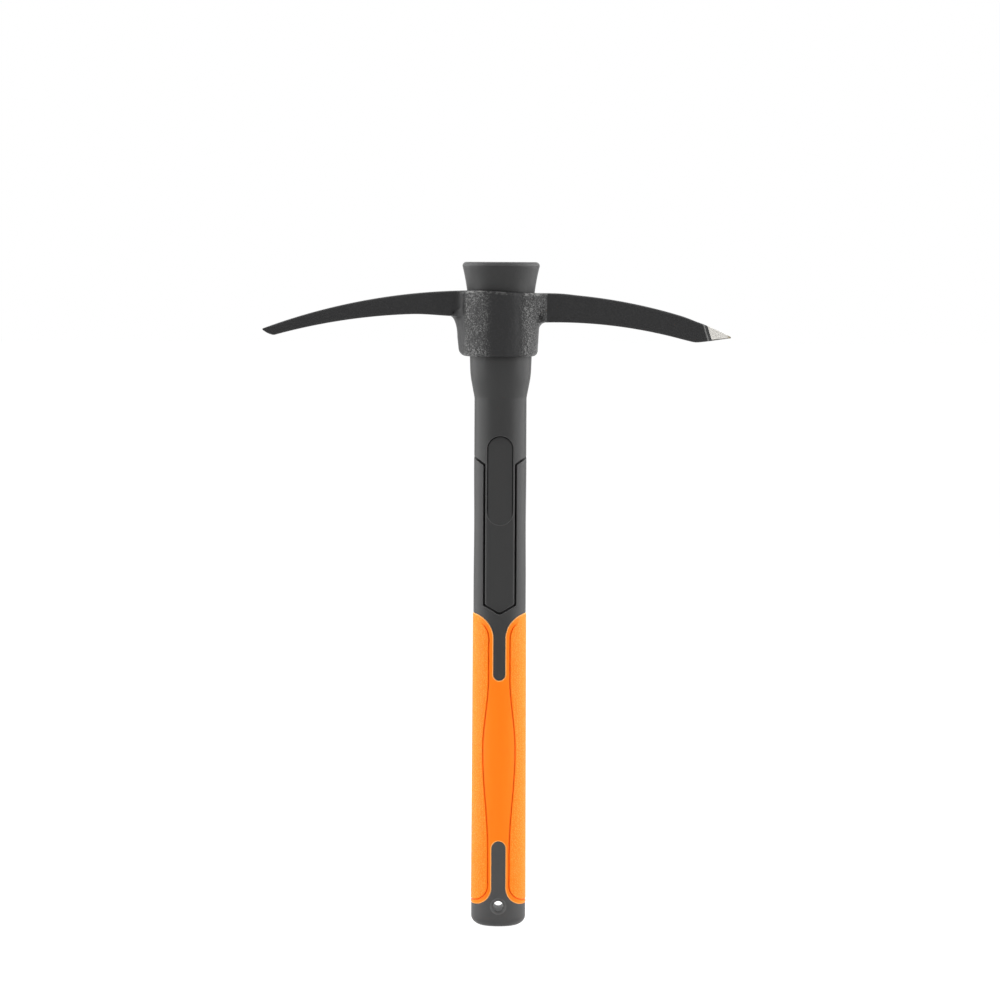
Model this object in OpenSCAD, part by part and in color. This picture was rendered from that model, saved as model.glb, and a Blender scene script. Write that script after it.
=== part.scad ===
/* [Handle] */
// Height of the tool from the butt to the flared end
handle_length = 400; // [390:1:440]
// Depth of every oval handle section as a share of its width
depth_share = 0.8; // [0.76:0.01:0.88]
// Width of the neck between the collar and the sleeve
neck_w = 31.3; // [30:0.1:32]
// Width of the sleeve at its shoulders
sleeve_w = 31.5; // [30.4:0.1:32]
// How far each side of the sleeve is drawn in at its waist
waist_depth = 0.2; // [0:0.05:0.4]
// Diameter of the fibreglass rod inside the mouldings
core_d = 16; // [12:0.5:17]
// Moulding that covers each end of the rod
core_cover = 6; // [4:0.5:10]

/* [Flared end and collar] */
// Width of the flared end at its widest
flare_w = 46.4; // [44:0.2:48]
// Radius of the rounded rim of the flared end
flare_rim_r = 2.4; // [1.5:0.1:4]
// Width of the seat at the mouth of the eye
seat_w = 37.2; // [36.6:0.2:38]
// Width of the collar where its cone starts
collar_w = 36.4; // [35:0.2:36.6]
// Height of the collar between the eye and its cone
collar_h = 11.5; // [8:0.1:14]
// Height of the cone from the collar down to the neck
cone_h = 13.4; // [10:0.2:18]

/* [Tongue] */
// Height of the point of the tongue above the butt
tongue_z = 188.2; // [182:0.2:196]
// Length of the tongue from its point to its shoulders
tongue_length = 90; // [80:1:96]
// Width of the tongue between the middles of its grooves
tongue_w = 19; // [18.4:0.2:21]
// Height of the pointed lower end of the tongue
tongue_point_h = 5.6; // [4:0.2:8]
// Radius of the rounded point of the tongue
tongue_point_r = 2.2; // [1:0.1:3]
// Rise of the shoulder line from the tongue to the side of the handle
shoulder_rise = 4.2; // [3:0.2:6]
// Width of the groove round the tongue
seam_w = 1.1; // [0.8:0.1:1.8]
// Depth of the groove round the tongue
seam_depth = 1.8; // [0.6:0.1:2]
// Distance between the flat front and back of the tongue
tongue_flat = 21.8; // [21:0.1:22.4]
// Height of the flat faces of the tongue above its point
tongue_flat_h = 60; // [56:1:70]
// Width of the thumb recess
recess_w = 15; // [12:0.2:15.4]
// Length of the thumb recess
recess_length = 52; // [40:1:56]
// Height of the lower end of the thumb recess above the point of the tongue
recess_rise = 54.7; // [48:0.1:58]
// Distance between the floors of the front and back recess
recess_flat = 21.4; // [20.8:0.1:21.7]
// Width of the fine line round the floor of the recess
recess_line_w = 0.5; // [0.4:0.1:0.8]
// Depth of that line below the floor
recess_line_depth = 0.6; // [0.3:0.1:0.9]

/* [Grip] */
// Height of the lowest edge of the grip above the butt
grip_z = 13.1; // [11:0.1:15]
// Length of the grip
grip_length = 175.1; // [168:0.1:178]
// Width of the grip at its upper end
grip_top_w = 32.1; // [31.8:0.1:33]
// Width of the grip at its lower end
grip_end_w = 33.1; // [32.4:0.1:34]
// Wall of the grip
grip_wall = 2.4; // [1.8:0.1:2.8]
// How far the butt lies below the surface of the grip
slot_drop = 0.15; // [0.1:0.05:0.4]
// Radius of the upper shoulders of the grip
grip_shoulder_r = 15; // [13:0.5:17]
// Radius of the lower lobes of the grip
grip_lobe_r = 10.4; // [9:0.2:12]
// Width of the upper slot
upper_slot_w = 7.4; // [6:0.2:9]
// Length of the upper slot below the shoulders
upper_slot_length = 25.4; // [20:0.2:32]
// Width of the lower slot
lower_slot_w = 8.6; // [7:0.2:10]
// Length of the lower slot above the lobes
lower_slot_length = 27.4; // [20:0.2:34]
// Width of the smooth strip between the sunk lines, at its narrowest
strip_w = 13.2; // [12:0.2:15]
// How far each sunk line bows outwards at its widest
strip_bow = 3.3; // [2:0.1:4]
// Radius of the turn at the lower end of each sunk line
strip_turn_r = 9.4; // [8:0.2:11]
// Distance of the sunk lines above the lowest edge of the grip
strip_margin = 2.5; // [2:0.1:3.5]
// Width of the sunk lines
line_w = 0.9; // [0.6:0.1:1.2]
// Depth of the sunk lines
line_depth = 0.6; // [0.3:0.05:0.9]

/* [Butt] */
// Width of the rounded rim of the butt
butt_rim_w = 8; // [4:0.5:9]
// Height of the rounded rim of the butt
butt_rim_h = 6; // [3:0.5:7]
// Diameter of the hang hole
hang_d = 6; // [5:0.2:7]
// Height of the hang hole above the butt
hang_z = 13; // [12:0.2:15]
// Width of the sunk lip round each mouth of the hang hole
lip_w = 1.6; // [1:0.1:2]

/* [Arms of the head] */
// Thickness of both arms beside the eye
arm_w = 17; // [15:0.5:19]
// Reach of the chisel edge from the handle axis
chisel_reach = 142.3; // [134:0.1:148]
// Width of the chisel edge
chisel_w = 26; // [20:0.5:34]
// Thickness of the chisel edge
chisel_edge = 0.8; // [0.5:0.1:1.5]
// Length of the bevel that ends the chisel
chisel_bevel = 6.8; // [4:0.2:9]
// Height of the chisel arm at its root
chisel_arm_h = 14.1; // [13:0.1:15]
// Radius of the back of the chisel arm
chisel_back_r = 361; // [345:1:400]
// Radius of the underside of the chisel arm
chisel_under_r = 350; // [325:5:360]
// Reach of the point from the handle axis
point_reach = 138; // [134:0.2:144]
// Length of the ground point
point_length = 15.1; // [13:0.1:18]
// Thickness of the point arm where the grinding starts
point_w = 11; // [9:0.2:13]
// Size of the blunt tip of the point
point_tip = 0.8; // [0.5:0.1:1.5]
// Height of the point arm at its root
point_arm_h = 17.5; // [16.5:0.1:19]
// Radius of the back of the point arm
point_back_r = 315; // [300:5:340]
// Radius of the underside of the point arm
point_under_r = 288; // [270:1:310]

/* [Eye of the head] */
// Distance from the flared end down to the top of the eye
eye_drop = 18; // [16:0.5:22]
// Height of the eye
eye_h = 38.5; // [37:0.1:42]
// Width of the eye along the arms
eye_w = 49.4; // [48.4:0.2:52]
// Depth of the eye across the arms
eye_depth = 41; // [40:0.5:44]
// How far the eye wall stands nearer the chisel than the point
eye_set = 1.7; // [0:0.1:1.8]
// How much the eye narrows on each side from the arms down to its rim
eye_draft = 0.7; // [0.2:0.1:1]
// Gap between the eye and its seat
eye_gap = 0.4; // [0.35:0.05:0.5]
// Radius of the lower rim of the eye
eye_rim_r = 4.4; // [2:0.2:5]

/* [Hidden] */
$fn = 96;
// Every cut runs this far past what it cuts
overrun = 1;
// Straight pieces that stand for a rounded rim, the flare and each run of a sunk line
rim_steps = 5;
flare_steps = 8;
line_steps = 8;

// Where the backs and undersides of the arms are level, measured from the handle axis
chisel_back_x = -15;
chisel_under_x = -41;
point_back_x = 17.6;
point_under_x = 34;
// How far the chisel arm stands above the top of the eye, and the point arm below it
chisel_rise = 0.9;
point_sink = 0.5;
// Length of the belly in front of the point, and how far the grinding and the tip stand above it
belly_length = 8;
belly_rise = 0.7;
tip_rise = 2.5;
// Fillets from the arms to the eye: under the arms, and on the cheeks seen from above
crotch_r = 6;
cheek_r = 9;
cheek_run = 2;
cheek_h = 2.9;
// Part of the grip's length below the widest place of its strip, and lengths of the bow on each side of it
bow_share = 0.53;
bow_above_share = 0.25;
bow_below_share = 0.35;
// Angle at which each sunk line ends on the shoulder of the grip
line_end_angle = 128;
// Part of the way from the grip up to the shoulders at which the sleeve is slimmest
waist_share = 0.6;

eye_top_z = handle_length - eye_drop;
eye_z = eye_top_z - eye_h;
cone_top_z = eye_z - collar_h;
neck_z = cone_top_z - cone_h;
flare_z = handle_length - flare_rim_r;
flare_r = flare_w / 2;
seat_r = seat_w / 2;
neck_r = neck_w / 2;
sleeve_r = sleeve_w / 2;
core_r = core_d / 2;
core_z = hang_z + hang_d / 2 + core_cover;
core_top_z = handle_length - core_cover;
seam_r = min(neck_r, sleeve_r) - seam_depth;
shoulder_z = tongue_z + tongue_length;
shoulder_slope = shoulder_rise / (sleeve_r - tongue_w / 2);
point_slope = tongue_point_h / (tongue_w / 2);
point_angle = atan(point_slope);
grip_top_z = grip_z + grip_length;
waist_z = grip_top_z + waist_share * (shoulder_z - grip_top_z);
grip_shoulder_z = grip_top_z - grip_shoulder_r;
grip_lobe_z = grip_z + grip_lobe_r;
strip_turn_z = grip_z + strip_margin + strip_turn_r;
bow_z = grip_z + bow_share * grip_length;
butt_r = grip_end_w / 2 - slot_drop;
eye_r = eye_w / 2;
chisel_back_z = eye_top_z + chisel_rise;
chisel_under_z = chisel_back_z - chisel_arm_h;
point_back_z = eye_top_z - point_sink;
point_under_z = point_back_z - point_arm_h;

// Points along an arc, by angle
function arc(centre, r, from, to, steps) =
  [for (i = [0:steps]) let (a = from + (to - from) * i / steps) centre + r * [cos(a), sin(a)]];

// Height of an arm's arc at x: level at level_x and falling away from there
function arc_height(x, level_x, level_z, r) = level_z - r + sqrt(r * r - (x - level_x) * (x - level_x));

function mirrored(points) = [for (i = [len(points) - 1:-1:0]) [-points[i].x, points[i].y]];

// Radius of the handle in the eye: upright at the mouth and flaring with the cube of the height
function flare_radius(z) = seat_r + (flare_r - seat_r) * pow((z - eye_z) / (flare_z - eye_z), 3);

// Radius of the eye's straight taper, which meets the flare at its top and bottom
function bore_radius(z) =
  seat_r + eye_gap + (flare_radius(eye_top_z) - seat_r) * (z - eye_z) / eye_h;

// Outline of the tongue and of all above it, grown by a margin
function tongue_half(margin) = let (
    side = tongue_w / 2 + margin,
    point_z = tongue_z - margin / cos(point_angle),
    line_z = shoulder_z - margin * sqrt(1 + shoulder_slope * shoulder_slope),
    round_r = tongue_point_r + margin,
    round_centre = [0, point_z + round_r / cos(point_angle)],
    far = flare_w
  ) concat(
    arc(round_centre, round_r, 270, 270 + point_angle, rim_steps),
    [
      [side, point_z + point_slope * side],
      [side, line_z + shoulder_slope * margin],
      [far, line_z + shoulder_slope * (far - tongue_w / 2)],
      [far, handle_length + overrun]
    ]
  );
function tongue_outline(margin) = let (
    half = tongue_half(margin),
    back = mirrored(half)
  ) concat(half, [for (i = [0:len(back) - 2]) back[i]]);

// Half of the smooth strip of the grip, from its lower turn to its upper end, widened by a margin
function bow(z) = let (
    reach = grip_length * (z > bow_z ? bow_above_share : bow_below_share),
    away = min(abs(z - bow_z) / reach, 1)
  ) strip_bow * (1 + cos(180 * away)) / 2;
function strip_half(margin) = let (
    side = strip_w / 2 + margin,
    turn = [strip_w / 2 + strip_turn_r, strip_turn_z],
    shoulder = [upper_slot_w / 2 + grip_shoulder_r, grip_shoulder_z],
    top_r = shoulder.x - side,
    low_z = bow_z - bow_below_share * grip_length,
    high_z = bow_z + bow_above_share * grip_length,
    run = [for (i = [0:2 * line_steps]) low_z + (high_z - low_z) * i / (2 * line_steps)]
  ) concat(
    [[flare_w, turn.y - strip_turn_r + margin]],
    arc(turn, strip_turn_r - margin, 270, 180, rim_steps),
    [for (z = run) [side + bow(z), z]],
    arc(shoulder, top_r, 180, line_end_angle, rim_steps)
  );
function strip_outline(margin) = concat(strip_half(margin), mirrored(strip_half(margin)));

// Oval solid: a profile of radii and heights, turned in a front and a back half and flattened
module oval(profile, share = depth_share) {
  for (turn = [0, 180]) {
    scale([1, share, 1]) rotate([0, 0, turn]) rotate_extrude(angle = 180) polygon(profile);
  }
}

// Flat shape, drawn as seen from the front, carried through the whole depth
module through(depth = 2 * flare_w) {
  rotate([90, 0, 0]) linear_extrude(height = depth, center = true) children();
}

// Flat shape, drawn as seen from the front, sunk from front and back to a given distance
module front_and_back(distance) {
  for (turn = [0, 180]) {
    rotate([0, 0, turn]) translate([0, -distance / 2, 0])
      rotate([90, 0, 0]) linear_extrude(height = flare_w) children();
  }
}

module core_rod() {
  translate([0, 0, core_z]) cylinder(h = core_top_z - core_z, r = core_r);
}

module seam_floor() {
  low = tongue_z - tongue_point_h;
  high = shoulder_z + 2 * shoulder_rise;
  oval([[0, low], [seam_r, low], [seam_r, high], [0, high]]);
}

// Body of the grip at a distance below its surface, run past both ends
module grip_body(inset, extra) {
  low = grip_z - extra;
  high = grip_top_z + extra;
  oval([[0, low], [grip_end_w / 2 - inset, low], [grip_top_w / 2 - inset, high], [0, high]]);
}

module slot(width, from, to) {
  translate([-width / 2, min(from, to)]) square([width, abs(to - from)]);
  translate([0, to]) circle(d = width);
}

// Grip as seen from the front: round shoulders and lobes beside two slots
module grip_face() {
  shoulder_x = upper_slot_w / 2 + grip_shoulder_r;
  lobe_x = lower_slot_w / 2 + grip_lobe_r;
  difference() {
    union() {
      translate([-shoulder_x, grip_lobe_z]) square([2 * shoulder_x, grip_shoulder_z - grip_lobe_z]);
      for (side = [-1, 1]) {
        translate([side * shoulder_x, grip_shoulder_z]) circle(r = grip_shoulder_r);
        translate([side * lobe_x, grip_lobe_z]) circle(r = grip_lobe_r);
      }
    }
    slot(upper_slot_w, grip_shoulder_z + overrun, grip_shoulder_z - upper_slot_length + upper_slot_w / 2);
    slot(lower_slot_w, grip_lobe_z - overrun, grip_lobe_z + lower_slot_length - lower_slot_w / 2);
  }
}

module thumb_recess(width = recess_w) {
  low = tongue_z + recess_rise + recess_w / 2;
  high = tongue_z + recess_rise + recess_length - recess_w / 2;
  slot(width, high, low);
  translate([0, high]) circle(d = width);
}

// Fine line inside the recess, round its top and down both sides
module recess_line() {
  difference() {
    thumb_recess();
    thumb_recess(recess_w - 2 * recess_line_w);
    translate([-recess_w, tongue_z]) square([2 * recess_w, recess_rise + recess_w / 2]);
  }
}

module hang_hole() {
  lip_y = butt_r * depth_share - lip_w;
  rotate([90, 0, 0]) cylinder(h = flare_w, d = hang_d, center = true);
  for (turn = [0, 180]) {
    rotate([0, 0, turn]) translate([0, -lip_y, 0])
      rotate([90, 0, 0]) cylinder(h = 2 * lip_w, r1 = hang_d / 2, r2 = hang_d / 2 + 2 * lip_w);
  }
}

// Arms as seen from the front, between two arcs each
module arm_band(back_x, back_z, back_r, under_x, under_z, under_r) {
  difference() {
    translate([back_x, back_z - back_r]) circle(r = back_r, $fn = 4 * $fn);
    translate([under_x, under_z - under_r]) circle(r = under_r, $fn = 4 * $fn);
  }
}

module chisel_arm_front() {
  heel_x = chisel_bevel - chisel_reach;
  edge_z = arc_height(-chisel_reach, chisel_back_x, chisel_back_z, chisel_back_r);
  heel_z = arc_height(heel_x, chisel_under_x, chisel_under_z, chisel_under_r);
  intersection() {
    arm_band(chisel_back_x, chisel_back_z, chisel_back_r, chisel_under_x, chisel_under_z, chisel_under_r);
    polygon([
      [-chisel_reach, edge_z], [-chisel_reach, edge_z - chisel_edge], [heel_x, heel_z],
      [0, eye_z], [0, handle_length], [-chisel_reach, handle_length]
    ]);
  }
}

module point_arm_front() {
  grind_x = point_reach - point_length;
  grind_z = arc_height(grind_x, point_back_x, point_back_z, point_back_r);
  belly_x = grind_x - belly_length;
  belly_z = arc_height(belly_x, point_under_x, point_under_z, point_under_r);
  tip_z = belly_z + tip_rise;
  intersection() {
    arm_band(point_back_x, point_back_z, point_back_r, point_under_x, point_under_z, point_under_r);
    polygon([
      [0, handle_length], [grind_x, handle_length], [grind_x, grind_z],
      [point_reach, tip_z + point_tip], [point_reach, tip_z],
      [grind_x, belly_z + belly_rise], [belly_x, belly_z], [belly_x, eye_z], [0, eye_z]
    ]);
  }
}

// Head as seen from above: arms that taper to the point and widen to the chisel, with filleted cheeks
module head_plan() {
  half = [
    [-chisel_reach - overrun, chisel_w / 2], [-eye_r, arm_w / 2], [eye_r, arm_w / 2],
    [point_reach - point_length, point_w / 2], [point_reach, point_tip / 2]
  ];
  polygon(concat(half, [for (i = [len(half) - 1:-1:0]) [half[i].x, -half[i].y]]));
  for (along = [-1, 1], across = [-1, 1]) {
    translate([-eye_set, 0]) scale([along, across]) difference() {
      square([eye_r + cheek_run, arm_w / 2 + cheek_h]);
      translate([eye_r + cheek_run, arm_w / 2 + cheek_r]) circle(r = cheek_r);
    }
  }
}

// Fillet that follows the eye's wall up to the underside of an arm
module crotch(side, under_z) {
  profile = concat(
    [[0, under_z - crotch_r], [eye_r, under_z - crotch_r]],
    arc([eye_r + crotch_r, under_z - crotch_r], crotch_r, 180, 90, rim_steps),
    [[eye_r + crotch_r, under_z + crotch_r], [0, under_z + crotch_r]]
  );
  translate([-eye_set, 0, 0]) scale([1, eye_depth / eye_w, 1])
    rotate([0, 0, -90 * side]) rotate_extrude(angle = 180) polygon(profile);
}

module eye_wall() {
  profile = concat(
    [[0, eye_z]],
    arc([eye_r - eye_draft - eye_rim_r, eye_z + eye_rim_r], eye_rim_r, 270, 360, rim_steps),
    [[eye_r, point_under_z - crotch_r], [eye_r, eye_top_z], [0, eye_top_z]]
  );
  translate([-eye_set, 0, 0]) oval(profile, eye_depth / eye_w);
}

module eye_bore() {
  low = eye_z - overrun;
  high = eye_top_z + chisel_rise + overrun;
  oval([[0, low], [bore_radius(low), low], [bore_radius(high), high], [0, high]]);
}

module pick_head() {
  color("#343434") difference() {
    union() {
      eye_wall();
      intersection() {
        linear_extrude(height = handle_length) head_plan();
        union() {
          through() chisel_arm_front();
          through() point_arm_front();
          crotch(-1, chisel_under_z);
          crotch(1, point_under_z);
        }
      }
    }
    eye_bore();
  }
}

module fibreglass_core() {
  color("#d9d2b0") core_rod();
}

module neck_moulding() {
  low = tongue_z - tongue_point_h;
  rim = [flare_r - flare_rim_r, flare_z];
  profile = concat(
    [[0, low], [neck_r, low], [neck_r, neck_z], [collar_w / 2, cone_top_z]],
    [for (i = [0:flare_steps]) let (z = eye_z + (flare_z - eye_z) * i / flare_steps) [flare_radius(z), z]],
    arc(rim, flare_rim_r, 90 / rim_steps, 90, rim_steps - 1),
    [[0, handle_length]]
  );
  color("#4b4b4b") difference() {
    union() {
      intersection() {
        oval(profile);
        through() polygon(tongue_outline(-seam_w / 2));
      }
      intersection() {
        seam_floor();
        through() polygon(tongue_outline(0));
      }
    }
    core_rod();
    front_and_back(recess_flat) thumb_recess();
    front_and_back(recess_flat - 2 * recess_line_depth) recess_line();
    front_and_back(tongue_flat)
      translate([-tongue_w / 2, low]) square([tongue_w, tongue_flat_h + tongue_point_h]);
  }
}

module handle_sleeve() {
  high = shoulder_z + 2 * shoulder_rise;
  rim_x = butt_r - butt_rim_w;
  profile = concat(
    [[0, 0]],
    [for (i = [0:rim_steps]) let (a = 90 * i / rim_steps)
      [rim_x + butt_rim_w * sin(a), butt_rim_h - butt_rim_h * cos(a)]],
    [[sleeve_r, grip_top_z], [sleeve_r - waist_depth, waist_z]],
    [[sleeve_r, shoulder_z], [sleeve_r, high], [0, high]]
  );
  color("#565656") difference() {
    union() {
      difference() {
        oval(profile);
        through() polygon(tongue_outline(seam_w / 2));
      }
      difference() {
        seam_floor();
        through() polygon(tongue_outline(0));
      }
    }
    difference() {
      through() grip_face();
      grip_body(grip_wall, grip_wall);
    }
    core_rod();
    translate([0, 0, hang_z]) hang_hole();
  }
}

module grip() {
  color("#ff8c22") difference() {
    intersection() {
      grip_body(0, overrun);
      through() grip_face();
    }
    grip_body(grip_wall, grip_wall);
    difference() {
      through() difference() {
        polygon(strip_outline(line_w / 2));
        polygon(strip_outline(-line_w / 2));
      }
      grip_body(line_depth, grip_wall);
    }
  }
}

pick_head();
fibreglass_core();
neck_moulding();
handle_sleeve();
grip();
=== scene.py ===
from functools import partial

import bmesh
import bpy
import numpy as np
from bpy.props import FloatProperty, FloatVectorProperty, PointerProperty
from mathutils import Matrix, Vector


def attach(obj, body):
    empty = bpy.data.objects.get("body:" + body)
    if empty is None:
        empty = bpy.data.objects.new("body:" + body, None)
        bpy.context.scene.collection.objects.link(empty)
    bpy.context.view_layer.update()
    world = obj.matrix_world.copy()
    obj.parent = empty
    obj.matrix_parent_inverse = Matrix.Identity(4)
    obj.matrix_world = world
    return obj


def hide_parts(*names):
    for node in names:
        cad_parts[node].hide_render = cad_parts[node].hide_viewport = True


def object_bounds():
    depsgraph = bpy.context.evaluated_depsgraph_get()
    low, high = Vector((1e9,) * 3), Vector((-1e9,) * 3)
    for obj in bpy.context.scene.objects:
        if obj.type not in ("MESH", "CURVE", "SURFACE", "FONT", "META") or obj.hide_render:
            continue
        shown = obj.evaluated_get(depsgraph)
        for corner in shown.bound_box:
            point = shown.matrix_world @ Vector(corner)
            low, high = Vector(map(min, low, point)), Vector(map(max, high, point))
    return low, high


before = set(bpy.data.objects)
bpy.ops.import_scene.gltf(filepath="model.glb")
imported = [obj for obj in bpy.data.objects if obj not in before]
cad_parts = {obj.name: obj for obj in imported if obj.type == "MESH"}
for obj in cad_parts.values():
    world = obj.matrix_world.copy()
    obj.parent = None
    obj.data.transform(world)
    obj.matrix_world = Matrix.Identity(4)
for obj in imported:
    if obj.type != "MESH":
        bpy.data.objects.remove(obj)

bl_info = {
    "name": "Hand pick",
    "version": (1, 0, 0),
    "blender": (4, 5, 0),
    "location": "View3D > Sidebar > Hand pick",
    "description": "Dresses the packed hand pick: forged head, moulded handle, soft grip and a pale studio",
    "category": "Add Mesh",
}

MM = 0.001
CAD_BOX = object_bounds()
QUARTERS = [(1, 1), (-1, 1), (1, -1), (-1, -1)]
FRONT_AND_BACK = [(1, 1), (1, -1)]
# Points that lie nearer to each other than this, in metres, are one point
WELD = 2e-6
# Edges that turn by more than this stay sharp
SHARP_ANGLE = np.radians(38)
# Rounded edges take no more than this share of an arm's height and half width
EDGE_SHARE = 0.28
# Share of the arm's height over which the cheek beside the point arm spreads
CHEEK_SHARE = 0.65
# How strongly the rim of the flared end carries the painted highlight of the moulded edges, next to the small
# moulded edges
FLARE_HIGHLIGHT = 0.5
# Where the fine line round the recess floor starts, in half widths above the recess's foot
MOAT_START = 0.4
# Places across the front panel where its lines draw together beside the groove
NEAR_GROOVE = (0.9, 0.95, 1)
# Angles round the hang hole, in degrees, where it pairs with the grip's lobe, the side and the butt's rim
HOLE_TURNS = (90, 10, -20, -90)
# Angle, in degrees, at which the rounded edge of the hang hole's lip goes over into its slope
LIP_TURN = 60

# How finely each stretch of the outlines is sampled. The sleeve's collar pairs the runs round the tongue
# with four runs round the grip, so ACROSS follows from the others.
TIP = 6
SLOPE = 12
CORNER = 6
SIDE = 26
ROUND = 12
ACROSS = 4 * ROUND - TIP - SLOPE - 2 * CORNER
RIM = 5
RUN = 60
LINE = 8
EYE = 26
CHEEK = 20
ARM = 64
END = 24
# How many places are tried to find where the cheek's fillet touches the eye
TRIES = 2000


def length(label, millimetres, description):
    """A size, written here in millimetres and kept in metres."""
    return FloatProperty(
        name=label, description=description, default=millimetres * MM, unit="LENGTH", precision=5
    )


def share(label, value, description):
    """A share between nothing and all."""
    return FloatProperty(name=label, description=description, default=value, min=0, max=1, subtype="FACTOR")


def angle(label, degrees, description):
    """An angle, written here in degrees and kept in radians."""
    return FloatProperty(name=label, description=description, default=np.radians(degrees), subtype="ANGLE")


def power(label, watts, description):
    """The power of a lamp."""
    return FloatProperty(name=label, description=description, default=watts, unit="POWER")


def colour(label, rgb, description):
    """A linear colour."""
    return FloatVectorProperty(
        name=label, description=description, default=rgb, size=3, min=0, max=1, subtype="COLOR"
    )


class HandleSizes(bpy.types.PropertyGroup):
    """Sizes of the neck moulding and the sleeve."""

    height: FloatProperty(
        name="Height", description="Top of the flared end", default=CAD_BOX[1].z, unit="LENGTH"
    )
    depth_share: share("Depth share", 0.8, "Depth of each oval section as a share of its width")
    neck_width: length("Neck width", 31.3, "Width between the collar and the sleeve")
    sleeve_width: length("Sleeve width", 31.5, "Width of the sleeve at its shoulders")
    sleeve_waist: length("Sleeve waist", 0.2, "How far the sleeve is drawn in at its waist")
    waist_height: length("Waist height", 242.2, "Height of the waist")
    waist_reach: length("Waist reach", 36, "How far the waist reaches up and down")
    rod_width: length("Rod width", 16.1, "Hole for the rod inside the mouldings")
    rod_foot: length("Rod foot", 22, "Height of the lower end of the rod")
    rod_top: length("Rod top", 394, "Height of the upper end of the rod")
    flare_width: length("Flare width", 46.4, "Widest place of the flared end")
    flare_rim: length("Flare rim", 2.4, "Radius of the rim of the flared end")
    seat_width: length("Seat width", 37.2, "Width at the mouth of the eye")
    seat_height: length("Seat height", 343.5, "Height of the mouth of the eye")
    collar_width: length("Collar width", 36.4, "Width where the collar's cone ends")
    collar_height: length("Collar height", 11.5, "From the cone up to the eye")
    cone_height: length("Cone height", 13.4, "From the neck up to the collar")
    cone_foot_round: length("Cone foot rounding", 0.8, "How far the lower end of the cone is rounded")
    cone_top_round: length("Cone top rounding", 4, "How far the upper end of the cone is rounded")
    tongue_foot: length("Tongue foot", 189.1, "Height of the point of the tongue")
    tongue_length: length("Tongue length", 89.8, "From the point to the shoulders")
    tongue_width: length("Tongue width", 19, "Between the middles of the grooves")
    tongue_point: length("Tongue point", 5.6, "Height of the pointed end")
    point_round: length("Point rounding", 3.2, "Radius of the tongue's point")
    corner_round: length("Corner rounding", 0.7, "Radius of the tongue's corners")
    shoulder_rise: length("Shoulder rise", 4.2, "Rise of the shoulder line to the side")
    groove_width: length("Groove width", 1.4, "Width of the groove round the tongue")
    groove_depth: length("Groove depth", 1.8, "Depth of the groove round the tongue")
    groove_end: share("Groove end", 0.06, "Part of the depth that is left where the groove meets the side")
    fade_start: angle("Groove fade start", 60, "How far round from the front the groove starts to fade")
    fade_span: angle("Groove fade span", 28, "Angle over which the groove fades")
    edge_radius: length("Edge radius", 0.25, "Rounding of the moulded edges")
    tongue_flat: length("Tongue flat", 21.8, "Between the flat front and back of the tongue")
    flat_top: length("Flat top", 248, "Height where the flat faces end")
    flat_fade: length("Flat fade", 4, "Height over which the flat turns into the round neck")
    recess_width: length("Recess width", 15.8, "Width of the thumb recess")
    recess_foot: length("Recess foot", 242.5, "Height of the lower end of the recess")
    recess_top: length("Recess top", 296.1, "Height of the upper end of the recess")
    recess_flat: length("Recess flat", 21.4, "Between the floors of the two recesses")
    moat_width: length("Moat width", 0.8, "Width of the fine line round the recess floor")
    moat_depth: length("Moat depth", 1.0, "Depth of that line")
    panel_top: length("Panel top", 301, "Height where the plain neck starts")
    butt_rim_width: length("Butt rim width", 8, "Width of the rounded rim of the butt")
    butt_rim: length("Butt rim height", 6, "Height of the rounded rim of the butt")
    hang_hole: length("Hang hole", 6, "Diameter of the hang hole")
    hang_height: length("Hang height", 13, "Height of the hang hole")
    hang_lip: length("Hang lip", 1.6, "Width and depth of the lip of the hang hole")


class GripSizes(bpy.types.PropertyGroup):
    """Sizes of the soft grip."""

    foot: length("Foot", 13.7, "Height of the lowest edge")
    length: length("Length", 175.9, "From the lowest edge to the top")
    top_width: length("Top width", 32.1, "Width at the upper end")
    end_width: length("End width", 33.1, "Width at the lower end")
    wall: length("Wall", 2.4, "Thickness of the grip")
    gap: length("Gap", 0.08, "Gap between the grip and the sleeve round it")
    slot_drop: length("Slot drop", 0.15, "How far the sleeve lies below the grip in the slots")
    edge_radius: length("Edge radius", 0.6, "Rounding of the grip's edges")
    shoulder_radius: length("Shoulder radius", 15, "Radius of the upper shoulders")
    lobe_radius: length("Lobe radius", 10.4, "Radius of the lower lobes")
    upper_slot_width: length("Upper slot width", 7.4, "Width of the upper slot")
    upper_slot_length: length("Upper slot length", 25.4, "Length of the upper slot")
    lower_slot_width: length("Lower slot width", 8.6, "Width of the lower slot")
    lower_slot_length: length("Lower slot length", 28.2, "Length of the lower slot")
    strip_width: length("Strip width", 12.8, "Between the sunk lines, at the narrowest")
    strip_bow: length("Strip bow", 3.3, "How far each sunk line bows outwards")
    strip_turn: length("Strip turn", 9.4, "Radius of the lower turn of each sunk line")
    strip_margin: length("Strip margin", 2.5, "From the lowest edge to the sunk line")
    bow_share: share("Bow share", 0.53, "Where along the grip the bow is widest")
    bow_above: share("Bow above", 0.25, "Part of the length over which the bow fades upwards")
    bow_below: share("Bow below", 0.35, "Part of the length over which the bow fades downwards")
    line_width: length("Line width", 0.95, "Width of the sunk lines")
    line_depth: length("Line depth", 0.6, "Depth of the sunk lines")
    line_end: angle("Line end", 128, "Where each sunk line ends on the shoulder")


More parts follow.
